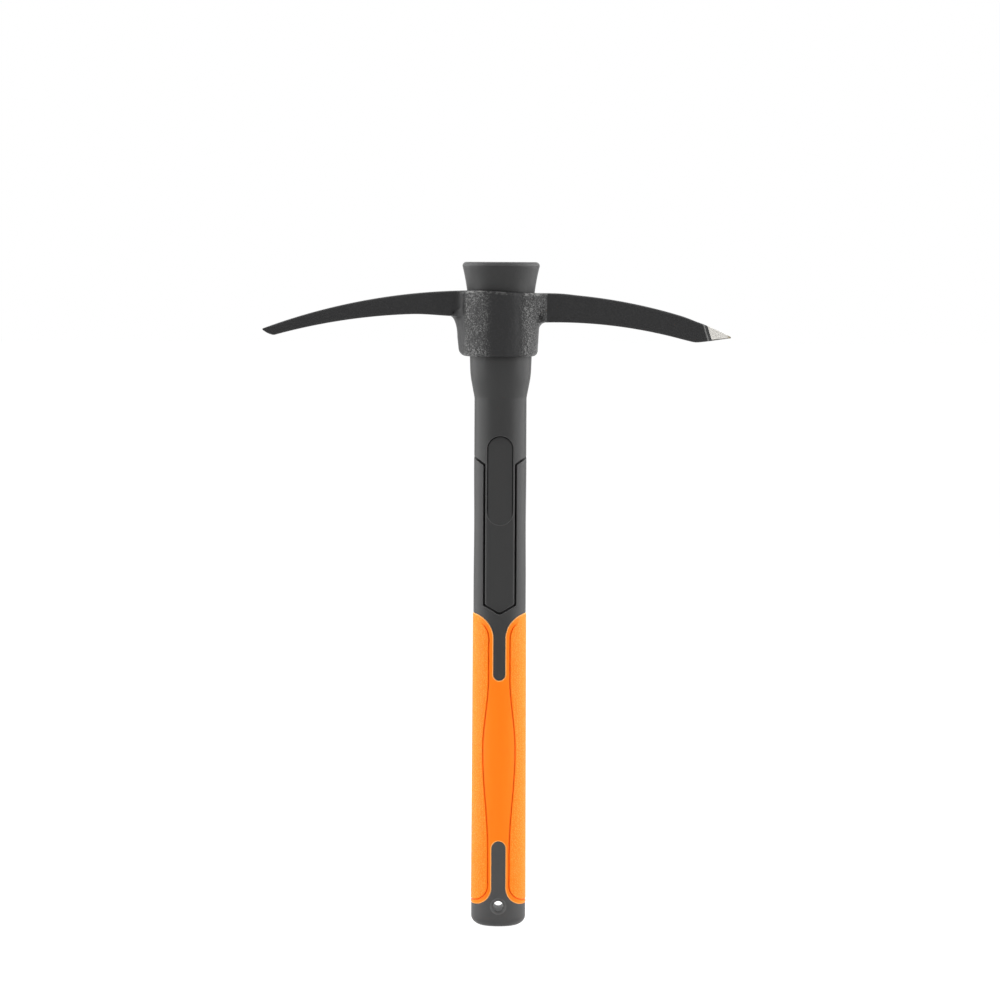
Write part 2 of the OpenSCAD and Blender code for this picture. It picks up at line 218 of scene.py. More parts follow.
class HeadSizes(bpy.types.PropertyGroup):
    """Sizes of the forged head."""

    eye_foot: length("Eye foot", 343.5, "Height of the lower end of the eye")
    eye_width: length("Eye width", 49, "Width of the eye along the arms")
    eye_depth: length("Eye depth", 41, "Depth of the eye across the arms")
    eye_set: length("Eye set", 1.6, "How far the eye stands nearer the chisel")
    eye_draft: length("Eye draft", 0.7, "How much the eye narrows to its lower end")
    bore_top: length("Bore top", 41.3, "Width of the bore at its upper end")
    bore_foot: length("Bore foot", 38, "Width of the bore at its lower end")
    bore_share: share("Bore share", 0.8, "Depth of the bore as a share of its width")
    chisel_cheek: length("Chisel cheek", 7, "Fillet from the eye to the chisel arm, seen from above")
    point_cheek: length("Point cheek", 2.2, "Fillet from the eye to the point arm, seen from above")
    cheek_flare: length("Cheek flare", 6.5, "How far the cheek beside the point arm spreads at its top")
    arm_width: length("Arm width", 17, "Thickness of both arms beside the eye")
    arm_edge: length("Arm edge", 1.4, "Rounding of the arms' edges")
    chisel_reach: length("Chisel reach", 142.3, "From the handle's axis to the chisel edge")
    chisel_width: length("Chisel width", 26, "Width of the chisel edge")
    chisel_edge: length("Chisel edge", 0.8, "Thickness of the chisel edge")
    chisel_bevel: length("Chisel bevel", 6.8, "Length of the bevel under the edge")
    bevel_bulge: length("Bevel bulge", 0.6, "How far the bevel bulges")
    chisel_crotch: length("Chisel crotch", 4.7, "Width of the fillet under the chisel arm")
    chisel_drop: length("Chisel drop", 12.6, "Height of that fillet")
    chisel_rim: length("Chisel side rim", 5, "Lower rim of the eye on the chisel's side")
    front_rim: length("Front rim", 1.2, "Lower rim of the eye at the front and back")
    chisel_back: length("Chisel back", 361, "Radius of the back of the chisel arm")
    chisel_back_x: length("Chisel back level", -15, "Where the back of the chisel arm is level")
    chisel_back_z: length("Chisel back height", 382.9, "Height of that place")
    chisel_under: length("Chisel underside", 350, "Radius of the underside of the chisel arm")
    chisel_under_x: length("Chisel underside level", -41, "Where the underside is level")
    chisel_under_z: length("Chisel underside height", 368.8, "Height of that place")
    chisel_sag: length("Chisel sag", 1.1, "How far the underside hangs lower at the eye")
    sag_start: length("Sag start", 54, "Where the underside starts to hang lower")
    sag_reach: length("Sag reach", 26, "Length over which it does")
    point_reach: length("Point reach", 138, "From the handle's axis to the tip")
    point_length: length("Point length", 15.1, "Length of the ground point")
    point_width: length("Point width", 11, "Thickness where the grinding starts")
    point_tip: length("Point tip", 0.8, "Size of the blunt tip")
    point_tip_z: length("Tip height", 355.3, "Height of the tip")
    point_belly_z: length("Belly height", 353.1, "Height of the underside where the grinding starts")
    point_slant: share("Point slant", 0.3, "Slant of the line where the grinding starts")
    point_edge: length("Point edge", 0.35, "Rounding of the ground edges")
    point_border: length("Point border", 0.9, "Rounding of the lower ground edge")
    point_crotch: length("Point crotch", 4.5, "Width of the fillet under the point arm")
    point_drop: length("Point drop", 4.5, "Height of that fillet")
    point_rim: length("Point side rim", 3.4, "Lower rim of the eye on the point's side")
    point_back: length("Point back", 315, "Radius of the back of the point arm")
    point_back_x: length("Point back level", 17.6, "Where the back of the point arm is level")
    point_back_z: length("Point back height", 381.5, "Height of that place")
    point_under: length("Point underside", 288, "Radius of the underside of the point arm")
    point_under_x: length("Point underside level", 34, "Where the underside is level")
    point_under_z: length("Point underside height", 364, "Height of that place")
    paint_end: length("Paint end", 2.1, "How far the lacquer runs over the ground point")


class FinishColours(bpy.types.PropertyGroup):
    """Colours of the finishes."""

    lacquer: colour("Lacquer", (0.0165, 0.0165, 0.017), "Black lacquer of the head")
    # Thin lacquer on the high grains, and painted sheen of the side light on the eye's flanks
    lacquer_worn_and_sheen: colour("Thin lacquer", (0.17, 0.17, 0.167), "Lacquer on the high grains of the forging")
    # Worn spots on the upper rim of the eye, and a painted highlight along the line where the grinding starts
    chips_and_glint: colour("Chipped lacquer", (0.2, 0.2, 0.195), "Worn spots on the edges of the head")
    # Painted highlight on the rounded edges of the mouldings
    moulded_rim_highlight: colour("Moulded rim", (0.09, 0.09, 0.09), "Rounded edges of the mouldings")
    steel: colour("Steel", (0.45, 0.436, 0.41), "Ground steel of the point")
    # Painted shade along the lower border of the ground steel
    steel_border_shade: colour("Steel border", (0.13, 0.125, 0.115), "Lower border of the ground steel")
    steel_tip: colour("Steel tip", (0.17, 0.145, 0.095), "Heat-tinted end of the point")
    neck: colour("Neck", (0.034, 0.034, 0.034), "Hard moulding of the neck")
    sleeve: colour("Sleeve", (0.037, 0.037, 0.037), "Moulding of the sleeve")
    # Paler tone of the sleeve towards the butt
    sleeve_foot: colour("Sleeve foot", (0.062, 0.062, 0.062), "Rubbed lower end of the sleeve")
    # Painted shade inside the grooves and the fine line round the recess, and under the eye's mouth
    groove: colour("Groove", (0.006, 0.006, 0.006), "Dark inside of the grooves and fine lines")
    grip: colour("Grip", (0.96, 0.19, 0.004), "Soft grip")
    grip_pale: colour("Grip bloom", (0.96, 0.29, 0.028), "Pale high places of the grip's stipple")
    # Painted highlight on the rounded edges of the grip
    grip_rim: colour("Grip rim", (1.0, 0.44, 0.12), "Rounded edges of the grip")
    # Painted shade inside the sunk lines of the grip
    grip_line_shade: colour("Grip line", (0.78, 0.12, 0.002), "Inside of the sunk lines of the grip")
    rod: colour("Rod", (0.66, 0.60, 0.38), "Resin of the rod")
    rod_fibre: colour("Fibre", (0.82, 0.78, 0.62), "Glass fibres of the rod")
    floor: colour("Floor", (0.9, 0.9, 0.9), "Pale floor")


class FinishSizes(bpy.types.PropertyGroup):
    """Grain, wear and gloss of the finishes."""

    forged_grain: length("Forged grain", 0.95, "Fine grain of the forged skin")
    forged_pits: length("Forged pits", 2.6, "Coarser pits of the forged skin")
    forged_waves: length("Forged waves", 9, "Broad unevenness of the forged skin")
    forged_relief: length("Forged relief", 0.4, "Height of the forged skin")
    smooth_middle: length("Smooth middle", 2.5, "Middle of the smooth place on the eye, towards the point")
    smooth_reach: length("Smooth reach", 6, "From that middle to where the eye gets rough")
    rough_reach: length("Rough reach", 15, "From that middle to where the eye is fully rough")
    eye_reach: length("Eye reach", 22.5, "From that middle to where the roughness starts to fade")
    arm_reach: length("Arm reach", 26, "From that middle to the smooth arms")
    ragged_grain: length("Ragged grain", 1.2, "Waves of the line where the lacquer ends")
    ragged_reach: length("Ragged reach", 0.8, "Depth of those waves")
    paint_blend: length("Paint blend", 0.2, "Half width of the line where the lacquer ends")
    # Half width of the painted highlight along the line where the grinding starts
    grind_glint_width: length("Chip width", 0.3, "Half width of the chipped line where the grinding starts")
    lacquer_gloss: share("Lacquer gloss", 0.2, "Level of the lacquer's gloss")
    lacquer_rough: share("Lacquer roughness", 0.42, "Roughness of the smooth lacquer")
    forged_rough: share("Forged roughness", 0.32, "Roughness of the lacquer on the grainy flanks of the eye")
    steel_rough: share("Steel roughness", 0.2, "How much rougher the ground steel is")
    steel_metal: share("Steel metal", 0.3, "Share of metal in the ground steel's shine")
    streak_width: length("Streak width", 0.9, "Width of the grinding marks")
    streak_stretch: FloatProperty(name="Streak stretch", description="Length of a mark in widths", default=12)
    streak_relief: length("Streak relief", 0.002, "Height of the grinding marks")
    streak_tone: share("Streak tone", 0.96, "Brightness of the darker grinding marks")
    tint_start: length("Tint start", 3, "From the tip to where the tint starts")
    tint_full: length("Tint full", 0.5, "From the tip to where the tint is full")
    plastic_tone: length("Plastic tone", 14, "Size of the uneven places in the mouldings' tone")
    plastic_grain: length("Plastic grain", 0.35, "Fine grain of the mouldings")
    plastic_relief: length("Plastic relief", 0.04, "Height of that grain")
    plastic_gloss: share("Plastic gloss", 0.15, "Level of the mouldings' gloss")
    neck_rough: share("Neck roughness", 0.36, "Roughness of the neck")
    sleeve_rough: share("Sleeve roughness", 0.38, "Roughness of the sleeve")
    rough_swing: share("Roughness swing", 0.04, "How far the roughness of plastic and rubber swings")
    # Heights over which the sleeve turns paler towards the butt
    pale_foot: length("Worn foot", 20, "Height below which the sleeve is fully rubbed")
    pale_top: length("Worn top", 165, "Height above which the sleeve is not rubbed")
    # Painted shadow on the neck under the eye's mouth, going on up inside the eye
    seat_shade_below: length("Rub below", 3.4, "How far below its mouth the eye rubs on its seat")
    seat_shade_above: length("Rub above", 3, "From the eye's mouth up to where the rubbing starts to fade")
    seat_shade_end: length("Rub end", 12, "From the eye's mouth up to where the rubbing ends")
    seat_shade_share: share("Rub share", 0.45, "How dark the rubbed seat is")
    stipple: length("Stipple", 0.9, "Distance between the dots of the grip")
    stipple_jitter: share("Stipple jitter", 0.6, "How unevenly the dots are spread")
    stipple_relief: length("Stipple relief", 0.15, "Height of the dots")
    rubber_grain: length("Rubber grain", 0.4, "Fine grain of the grip")
    rubber_relief: length("Rubber relief", 0.02, "Height of that grain")
    rubber_gloss: share("Rubber gloss", 0.15, "Level of the grip's gloss")
    rubber_rough: share("Rubber roughness", 0.46, "Roughness of the grip")
    fibre_width: length("Fibre width", 0.4, "Width of the glass fibres")
    fibre_stretch: FloatProperty(name="Fibre stretch", description="Length of a fibre in widths", default=60)
    fibre_relief: length("Fibre relief", 0.05, "Height of the glass fibres")
    rod_rough: share("Rod roughness", 0.4, "Roughness of the rod")
    rod_swing: share("Rod swing", 0.1, "How far the roughness of the rod swings")
    floor_rough: share("Floor roughness", 0.9, "Roughness of the floor")


class StageSettings(bpy.types.PropertyGroup):
    """Camera, light and floor."""

    distance: length("Distance", 2500, "From the camera to the handle's axis")
    camera_height: length("Camera height", 395, "Height of the camera")
    azimuth: angle("Azimuth", 0, "How far the camera stands towards the point")
    roll: angle("Roll", 0.27, "Turn of the camera about its line of sight")
    aim_x: length("Aim across", -0.04, "Place in the middle of the picture, along the head")
    aim_z: length("Aim height", 257.1, "Place in the middle of the picture, along the handle")
    view_width: length("View width", 600.4, "Width of the picture at the handle")
    lamp_side: length("Lamp side", 1225, "How far each lamp stands to the side")
    lamp_front: length("Lamp front", 100, "How far each lamp stands in front of the handle")
    lamp_level: length("Lamp level", 750, "Height of the middle of each lamp")
    lamp_width: length("Lamp width", 1700, "Width of each lamp")
    lamp_height: length("Lamp height", 2100, "Height of each lamp from edge to edge")
    top_lamp_back: length("Top lamp back", 600, "How far the overhead lamp stands behind the handle")
    top_lamp_level: length("Top lamp level", 1500, "Height of the overhead lamp")
    top_lamp_size: length("Top lamp size", 1400, "Side of the overhead lamp")
    top_power: power("Top light", 15, "Power of the overhead lamp")
    front_lamp_front: length("Front lamp front", 1900, "How far the front lamp stands in front of the handle")
    front_lamp_level: length("Front lamp level", 1500, "Height of the front lamp")
    front_lamp_size: length("Front lamp size", 1200, "Side of the front lamp")
    front_power: power("Front light", 2.5, "Power of the front lamp")
    side_power: power("Side light", 46, "Power of each side lamp")
    world_strength: share("Room light", 0.06, "Strength of the room's light")
    floor_reach: length("Floor reach", 20000, "From the middle of the floor to its edges")
    floor_white: share("Floor white", 0.75, "Share of the floor's tone that is plain white to the eye")
    floor_glow: FloatProperty(name="Floor glow", description="Strength of that white", default=1.31, min=0)


# In the functions below, h, g and d are the sizes of the handle, the grip and the head, w and c are the
# sizes and colours of the finishes, and s is the stage. On the head, side is -1 for the chisel and 1 for
# the point.


def line(start, end, steps):
    """Evenly spaced points on a straight line, both ends included."""
    t = np.linspace(0, 1, steps + 1)[:, None]
    return (1 - t) * np.asarray(start, float) + t * np.asarray(end, float)


def arc(centre, radius, start, end, steps):
    """Points on a circle, from one angle in degrees to another."""
    turn = np.radians(np.linspace(start, end, steps + 1))
    return np.asarray(centre, float) + radius * np.stack([np.cos(turn), np.sin(turn)], 1)


def corner(before, at, after, radius, steps):
    """Arc that rounds a corner: it touches both straight lines, and its centre lies on their bisector."""
    at = np.asarray(at, float)
    back = np.asarray(before, float) - at
    on = np.asarray(after, float) - at
    back = back / np.linalg.norm(back)
    on = on / np.linalg.norm(on)
    half = np.arccos(np.clip(back @ on, -1, 1)) / 2
    bisector = (back + on) / np.linalg.norm(back + on)
    centre = at + bisector * radius / np.sin(half)
    spokes = [at + way * radius / np.tan(half) - centre for way in (back, on)]
    start, end = (np.degrees(np.arctan2(spoke[1], spoke[0])) for spoke in spokes)
    end = start + (end - start + 180) % 360 - 180
    return arc(centre, radius, start, end, steps)


def joined(*runs):
    """Runs of points end to end, each shared end point kept once."""
    return np.concatenate([runs[0]] + [r[1:] for r in runs[1:]])


def smooth(t):
    """Rises from 0 to 1 with level ends."""
    t = np.clip(t, 0, 1)
    return t * t * (3 - 2 * t)


def ramp(x, rounding):
    """Zero below 0 and x above it, with the corner rounded by a parabola."""
    return np.where(abs(x) < rounding, (x + rounding) ** 2 / (4 * rounding), np.maximum(x, 0))


def higher(a, b, rounding):
    """The higher of two heights, with the corner between them rounded."""
    return b + ramp(a - b, rounding)


def ruled(first, second, places):
    """Grid of straight lines from each point of one curve to its partner on another, at the given places
    from 0 to 1."""
    t = np.asarray(places, float)[:, None, None]
    return (1 - t) * first[None] + t * second[None]


def unrolled(points, radius, to_side=False):
    """Front view points, as across and up, turned into angle round the handle and height. With to_side, the
    last one lies on the side of the handle."""
    radius = radius(points[:, 1]) if callable(radius) else radius
    across = np.arcsin(np.clip(points[:, 0] / radius, 0, 1))
    if to_side:
        across[-1] = np.pi / 2
    return np.stack([across, points[:, 1]], 1)


def on_oval(places, radius, depth_share, depth=0.0):
    """Points of an oval handle: width times the sine and depth times the cosine of the angle, sunk along
    the oval's own normal."""
    turn, z = places[..., 0], places[..., 1]
    wide = radius(z) if callable(radius) else radius + 0 * z
    deep = wide * depth_share
    normal = np.stack([deep * np.sin(turn), -wide * np.cos(turn)], -1)
    normal = normal / np.linalg.norm(normal, axis=-1, keepdims=True)
    sunk = np.asarray(depth) + 0 * z
    return np.stack(
        [
            wide * np.sin(turn) - sunk * normal[..., 0],
            -deep * np.cos(turn) - sunk * normal[..., 1],
            z,
        ],
        -1,
    )


def edge_steps(radius, last=90):
    """Steps of a rounded edge, up to a last angle in degrees: how far each lies outside the wall, the
    radius times one less the sine, and how deep it lies, the radius times one less the cosine."""
    bend = np.radians(np.linspace(0, last, RIM))
    return zip(radius * (1 - np.sin(bend)), radius * (1 - np.cos(bend)))


def carried_round(profile, turns, depth_share):
    """A profile of half widths and heights carried round the oval: width times the sine and depth times the
    cosine of the angle."""
    wide = profile[:, :1]
    around = [wide * np.sin(turns), -depth_share * wide * np.cos(turns), profile[:, 1:] + 0 * turns]
    return np.stack(around, -1)


def stacked(grids, signs):
    """Points with their marks, and four-sided faces, of all grids, each laid in every mirrored place."""
    points, faces, first = [], [], 0
    for grid in grids:
        grid = grid if grid.shape[-1] > 3 else marked(grid)
        rows, columns = grid.shape[:2]
        index = np.arange(rows * columns).reshape(rows, columns)
        quads = np.stack([index[:-1, :-1], index[:-1, 1:], index[1:, 1:], index[1:, :-1]], -1).reshape(-1, 4)
        for sign_x, sign_y in signs:
            points.append(grid.reshape(-1, 5) * [sign_x, sign_y, 1, 1, 1])
            faces.append(quads + first)
            first += rows * columns
    return np.concatenate(points), np.concatenate(faces)


def weld(mesh):
    """Merges the seams, drops faces without area and turns all faces outwards. An open seam is an error."""
    solid = bmesh.new()
    solid.from_mesh(mesh)
    bmesh.ops.remove_doubles(solid, verts=solid.verts, dist=WELD)
    bmesh.ops.dissolve_degenerate(solid, edges=solid.edges, dist=WELD)
    bmesh.ops.recalc_face_normals(solid, faces=solid.faces)
    open_edges = sum(not e.is_manifold for e in solid.edges)
    solid.to_mesh(mesh)
    solid.free()
    if open_edges:
        raise RuntimeError(f"{mesh.name} has {open_edges} open edges")


def skin(name, grids, signs):
    """One closed piece from grids of points, whose two marks become attributes of its mesh."""
    points, faces = stacked(grids, signs)
    mesh = bpy.data.meshes.new(name)
    mesh.vertices.add(len(points))
    mesh.vertices.foreach_set("co", points[:, :3].ravel())
    mesh.loops.add(faces.size)
    mesh.loops.foreach_set("vertex_index", faces.ravel())
    mesh.polygons.add(len(faces))
    mesh.polygons.foreach_set("loop_start", np.arange(0, faces.size, 4))
    for column, mark in ((3, "rim"), (4, "field")):
        mesh.attributes.new(mark, "FLOAT", "POINT").data.foreach_set("value", points[:, column].copy())
    mesh.update(calc_edges=True)
    weld(mesh)
    mesh.polygons.foreach_set("use_smooth", np.ones(len(mesh.polygons), bool))
    mesh.set_sharp_from_angle(angle=SHARP_ANGLE)
    piece = bpy.data.objects.new(name, mesh)
    bpy.context.scene.collection.objects.link(piece)
    return piece


def neck_radius(h, z):
    """Half width of the neck at a height: level, then a cone with rounded ends, then a slow taper to the
    seat, then a flare that grows with the cube of the height."""
    widths = (h.neck_width, h.collar_width, h.seat_width, h.flare_width)
    neck, collar, seat, flare = (width / 2 for width in widths)
    cone_top = h.seat_height - h.collar_height
    cone_foot = cone_top - h.cone_height
    slope = (collar - neck) / h.cone_height
    taper = (seat - collar) / h.collar_height
    low = neck + slope * ramp(z - cone_foot, h.cone_foot_round)
    low = low + (taper - slope) * ramp(z - cone_top, h.cone_top_round)
    up = np.clip((z - h.seat_height) / (h.height - h.flare_rim - h.seat_height), 0, 1)
    return np.where(z > h.seat_height, seat + (flare - seat) * up**3, low)


def sleeve_radius(h, g, z):
    """Half width of the sleeve: straight tapers from the butt to the top of the grip and on to the
    shoulders, drawn in by a cosine wave at the waist."""
    heights = [h.butt_rim, g.foot + g.length, h.tongue_foot + h.tongue_length]
    halves = [g.end_width / 2 - g.slot_drop, h.sleeve_width / 2, h.sleeve_width / 2]
    away = np.minimum(abs(z - h.waist_height) / h.waist_reach, 1)
    return np.interp(z, heights, halves) - h.sleeve_waist * (1 + np.cos(np.pi * away)) / 2


def grip_radius(g, z):
    """Half width of the grip: a straight taper."""
    return np.interp(z, [g.foot, g.foot + g.length], [g.end_width / 2, g.top_width / 2])


def tongue_runs(h, margin, radius):
    """Outline of the tongue grown by a margin, from its point up to the side of the handle, in six runs:
    rounded point, slope, corner, side, elbow and shoulder line."""
    half = h.tongue_width / 2
    point_slope = h.tongue_point / half
    shoulder_slope = h.shoulder_rise / (h.sleeve_width / 2 - half)
    tip = np.array([0, h.tongue_foot - margin * np.hypot(1, point_slope)])
    low = np.array([half + margin, tip[1] + point_slope * (half + margin)])
    line_z = h.tongue_foot + h.tongue_length - margin * np.hypot(1, shoulder_slope)
    high = np.array([half + margin, line_z + shoulder_slope * margin])
    beyond = high + [half, shoulder_slope * half]
    point = corner(low * [-1, 1], tip, low, h.point_round + margin, 2 * TIP)[TIP:]
    turn = corner(tip, low, high, h.corner_round, CORNER)
    elbow = corner(low, high, beyond, h.corner_round, CORNER)
    across = np.linspace(np.arcsin(elbow[-1, 0] / radius), np.pi / 2, ACROSS + 1)
    wide = radius * np.sin(across)
    shoulder = np.stack([wide, line_z + shoulder_slope * (wide - half)], 1)
    shoulder[0] = elbow[-1]
    sides = side_heights(h, turn[-1, 1], elbow[0, 1])
    side = np.stack([half + margin + 0 * sides, sides], 1)
    return [point, line(point[-1], turn[0], SLOPE), turn, side, elbow, shoulder]


def side_heights(h, low, high):
    """Heights of the points on the tongue's side: they pair with the plain tongue, the round foot of the
    recess and its straight side."""
    arc_top = h.recess_foot + h.recess_width / 2
    runs = [
        np.linspace(low, h.recess_foot, SIDE + 1),
        np.linspace(h.recess_foot, arc_top, ROUND + 1)[1:],
        np.linspace(arc_top, high, ROUND + 1)[1:],
    ]
    return np.concatenate(runs)


def upper_heights(h, low):
    """Heights above the shoulder, which pair with the straight side of the recess, its round top and the
    plain neck."""
    arc_foot = h.recess_top - h.recess_width / 2
    runs = [
        np.linspace(low, arc_foot, RIM + 1),
        np.linspace(arc_foot, h.recess_top, ROUND + 1)[1:],
        np.linspace(h.recess_top, h.panel_top, RIM + 1)[1:],
    ]
    return np.concatenate(runs)


def recess_outline(h, offset, side):
    """Right half of the thumb recess: a quarter circle, a straight side at the given heights, a quarter
    circle."""
    half = h.recess_width / 2
    foot = arc((0, h.recess_foot + half), half + offset, -90, 0, ROUND)
    top = arc((0, h.recess_top - half), half + offset, 0, 90, ROUND)
    straight = np.stack([half + offset + 0 * side, side], 1)
    return joined(foot, straight, top)


def flat_limit(h, z, depth):
    """How far the front may stand out: the flat of the tongue below, and above it an eighth of the neck's
    width more, which clears the round neck. A sunk place lies half its depth lower."""
    fade = smooth((z - h.flat_top + h.flat_fade / 2) / h.flat_fade)
    return h.tongue_flat / 2 + fade * h.neck_width / 8 - depth / 2


def panel_points(h, places, radius, depth=0.0):
    """Points of the handle's front with the tongue's flat cut into the oval."""
    points = on_oval(places, radius, h.depth_share, depth)
    points[..., 1] = -np.minimum(-points[..., 1], flat_limit(h, points[..., 2], depth))
    return points


def groove_grid(h, half, radius, side):
    """The groove's wall and floor, and the joint down to the rod, carried along the tongue's outline. Side
    is 1 for the sleeve and -1 for the neck, whose edge follows the flat of the tongue."""
    wall = side * h.groove_width / 2
    lines = []
    for offset, full_depth in edge_steps(h.edge_radius):
        places = unrolled(joined(*tongue_runs(h, wall + side * offset, half)), radius, True)
        depth = full_depth * groove_fade(h, places)
        if side < 0:
            lines.append(panel_points(h, places, radius, depth))
        else:
            lines.append(on_oval(places, radius, h.depth_share, depth))
    for margin in (wall, 0):
        places = unrolled(joined(*tongue_runs(h, margin, half)), radius, True)
        lines.append(panel_points(h, places, radius, h.groove_depth * groove_fade(h, places)))
    lines.append(rod_hole(h, places))
    grid = np.stack(lines)
    rows = np.arange(len(grid))[:, None]
    # The groove's inside carries the field mark, which the finish paints with shade
    return marked(grid, rim=(rows > 0) & (rows < RIM), field=rows >= RIM)


def groove_fade(h, places):
    """Share of the groove's depth: whole on the front, and nearly nothing where it runs out to the side."""
    return 1 - (1 - h.groove_end) * smooth((places[..., 0] - h.fade_start) / h.fade_span)


def rimmed(grid):
    """Marks the rounded rows of a grid as its rim, which the finish paints with a highlight."""
    rows = np.arange(len(grid))[:, None]
    return marked(grid, rim=(rows > 0) & (rows < RIM))


def marked(grid, rim=0.0, field=0.0):
    """A grid whose points carry two marks for the finish: how far they belong to a rounded rim, which on the
    mouldings and the grip is painted with a highlight, and to a field, which is the stippled side of the
    grip, with its sunk lines below zero painted with shade, the inside of a groove painted with shade, or the
    border of the ground point painted with shade."""
    marks = [np.broadcast_to(m, grid.shape[:2]) for m in (rim, field)]
    return np.concatenate([grid, np.stack(marks, -1)], -1)


def rod_hole(h, places):
    """Points on the wall of the round hole for the rod."""
    turn, z = places[..., 0], places[..., 1]
    half = h.rod_width / 2
    return np.stack([half * np.sin(turn), -half * np.cos(turn), z], -1)


def rod_hole_grids(h, half, radius, end):
    """The hole's wall from the joint to its end, and the disc that closes it."""
    outline = unrolled(joined(*tongue_runs(h, 0, half)), radius, True)
    ring = np.stack([np.linspace(0, np.pi / 2, len(outline)), np.full(len(outline), end)], 1)
    wall = rod_hole(h, ruled(outline, ring, np.linspace(0, 1, ACROSS + 1)))
    centre = wall[-1] * [0, 0, 1]
    return [wall, ruled(wall[-1], centre, np.linspace(0, 1, RIM))]


def neck_grids(h):
    """Grids of a quarter of the neck moulding: front panel with the recess, side panel, tube with the
    flared end, and the groove and joint below."""
    radius = h.neck_width / 2
    edge = -h.groove_width / 2 - h.edge_radius
    point, slope, turn, side, elbow, shoulder = tongue_runs(h, edge, radius)
    above = upper_heights(h, elbow[0, 1])
    upper = np.stack([elbow[0, 0] + 0 * above, above], 1)
    right = joined(point, slope, turn, side, upper)
    straight = np.concatenate([side[SIDE + ROUND :, 1], above[1 : RIM + 1]])
    outline = recess_outline(h, h.edge_radius, straight)
    foot_steps = TIP + SLOPE + CORNER + SIDE
    left = joined(
        line((0, point[0, 1]), outline[0], foot_steps), outline, line(outline[-1], (0, h.panel_top), RIM)
    )
    across = np.concatenate([np.linspace(0, NEAR_GROOVE[0], 2 * ACROSS), NEAR_GROOVE[1:]])
    front = ruled(unrolled(left, radius), unrolled(right, radius), across)
    low_edge = unrolled(joined(elbow, shoulder), radius)
    first = np.arcsin(elbow[0, 0] / radius)
    top_turn = np.linspace(first, np.pi / 2, len(low_edge))
    top_edge = np.stack([top_turn, np.full(len(low_edge), h.panel_top)], 1)
    rise = (above - above[0]) / (above[-1] - above[0])
    flank = ruled(low_edge, top_edge, rise)
    grids = [panel_points(h, front, radius), panel_points(h, flank, radius)]
    turns = np.concatenate([front[:, -1, 0], top_turn[1:]])
    grids.append(neck_tube(h, turns))
    edge_grid = recess_edge(h, straight, radius)
    # The fine line round the recess floor carries the field mark as it sinks, which the finish paints with
    # shade
    sunk = np.clip((edge_grid[..., 1] + h.recess_flat / 2) / h.moat_depth, 0, 1)
    rows = np.arange(len(edge_grid))[:, None]
    grids.append(marked(edge_grid, rim=(rows > 0) & (rows < RIM), field=sunk))
    middle = edge_grid[-1] * [0, 1, 1]
    grids.append(ruled(edge_grid[-1], middle, np.linspace(0, 1, ACROSS + 1)))
    grids.append(groove_grid(h, radius, radius, -1))
    return grids + rod_hole_grids(h, radius, radius, h.rod_top)


def recess_edge(h, straight, radius):
    """The recess's rounded edge and wall, and the fine line round its floor, which fades out at the lower
    end."""
    floor_y = h.recess_flat / 2
    lines = []
    for offset, depth in edge_steps(h.edge_radius):
        places = recess_outline(h, offset, straight)
        face = panel_points(h, unrolled(places, radius), radius)
        face[:, 1] = np.minimum(face[:, 1] + depth, h.edge_radius / 4 - floor_y)
        lines.append(face)
    for offset, depth in [(0, 1), (-h.moat_width, 1), (-h.moat_width, 0), (-2 * h.moat_width, 0)]:
        places = recess_outline(h, offset, straight)
        fade = smooth(2 * (places[:, 1] - h.recess_foot) / h.recess_width - MOAT_START)
        lines.append(np.stack([places[:, 0], depth * fade * h.moat_depth - floor_y, places[:, 1]], 1))
    return np.stack(lines)


def neck_tube(h, turns):
    """Neck, collar, flare and rim: the radius at each height carried round the oval, closed by a level
    top."""
    flare_z = h.height - h.flare_rim
    cone_foot = h.seat_height - h.collar_height - h.cone_height
    z = np.concatenate(
        [
            np.linspace(h.panel_top, cone_foot - h.cone_foot_round, RIM),
            np.linspace(cone_foot - h.cone_foot_round, cone_foot + h.cone_foot_round, RIM)[1:],
            np.linspace(cone_foot + h.cone_foot_round, h.seat_height, 3 * ROUND)[1:],
            np.linspace(h.seat_height, flare_z, 3 * ROUND)[1:],
        ]
    )
    rim_centre = (h.flare_width / 2 - h.flare_rim, flare_z)
    rim = arc(rim_centre, h.flare_rim, 0, 90, ROUND)[1:]
    cap = line(rim[-1], (0, h.height), ROUND)[1:]
    profile = np.concatenate([np.stack([neck_radius(h, z), z], 1), rim, cap])
    rows = np.arange(len(profile))[:, None]
    on_rim = (rows >= len(z)) & (rows < len(z) + ROUND)
    # The rim of the flared end carries part of the painted highlight of the moulded edges
    return marked(carried_round(profile, turns, h.depth_share), rim=FLARE_HIGHLIGHT * on_rim)


def upper_outline(g, offset, radius):
    """Upper edge of the grip, shrunk by an offset, from the foot of its slot to the side: round slot end,
    slot side, and the shoulder's circle in two runs, parted where the sunk line ends."""
    slot = g.upper_slot_width / 2
    shoulder_z = g.foot + g.length - g.shoulder_radius
    end_z = shoulder_z - g.upper_slot_length + slot
    centre = (slot + g.shoulder_radius, shoulder_z)
    round_r = g.shoulder_radius - offset
    last = np.degrees(np.arccos((radius(shoulder_z + round_r) - centre[0]) / round_r))
    end = np.degrees(g.line_end)
    return [
        arc((0, end_z), slot + offset, -90, 0, ROUND),
        line((slot + offset, end_z), (slot + offset, shoulder_z), ROUND),
        arc(centre, round_r, 180, end, ROUND),
        arc(centre, round_r, end, last, ROUND),
    ]


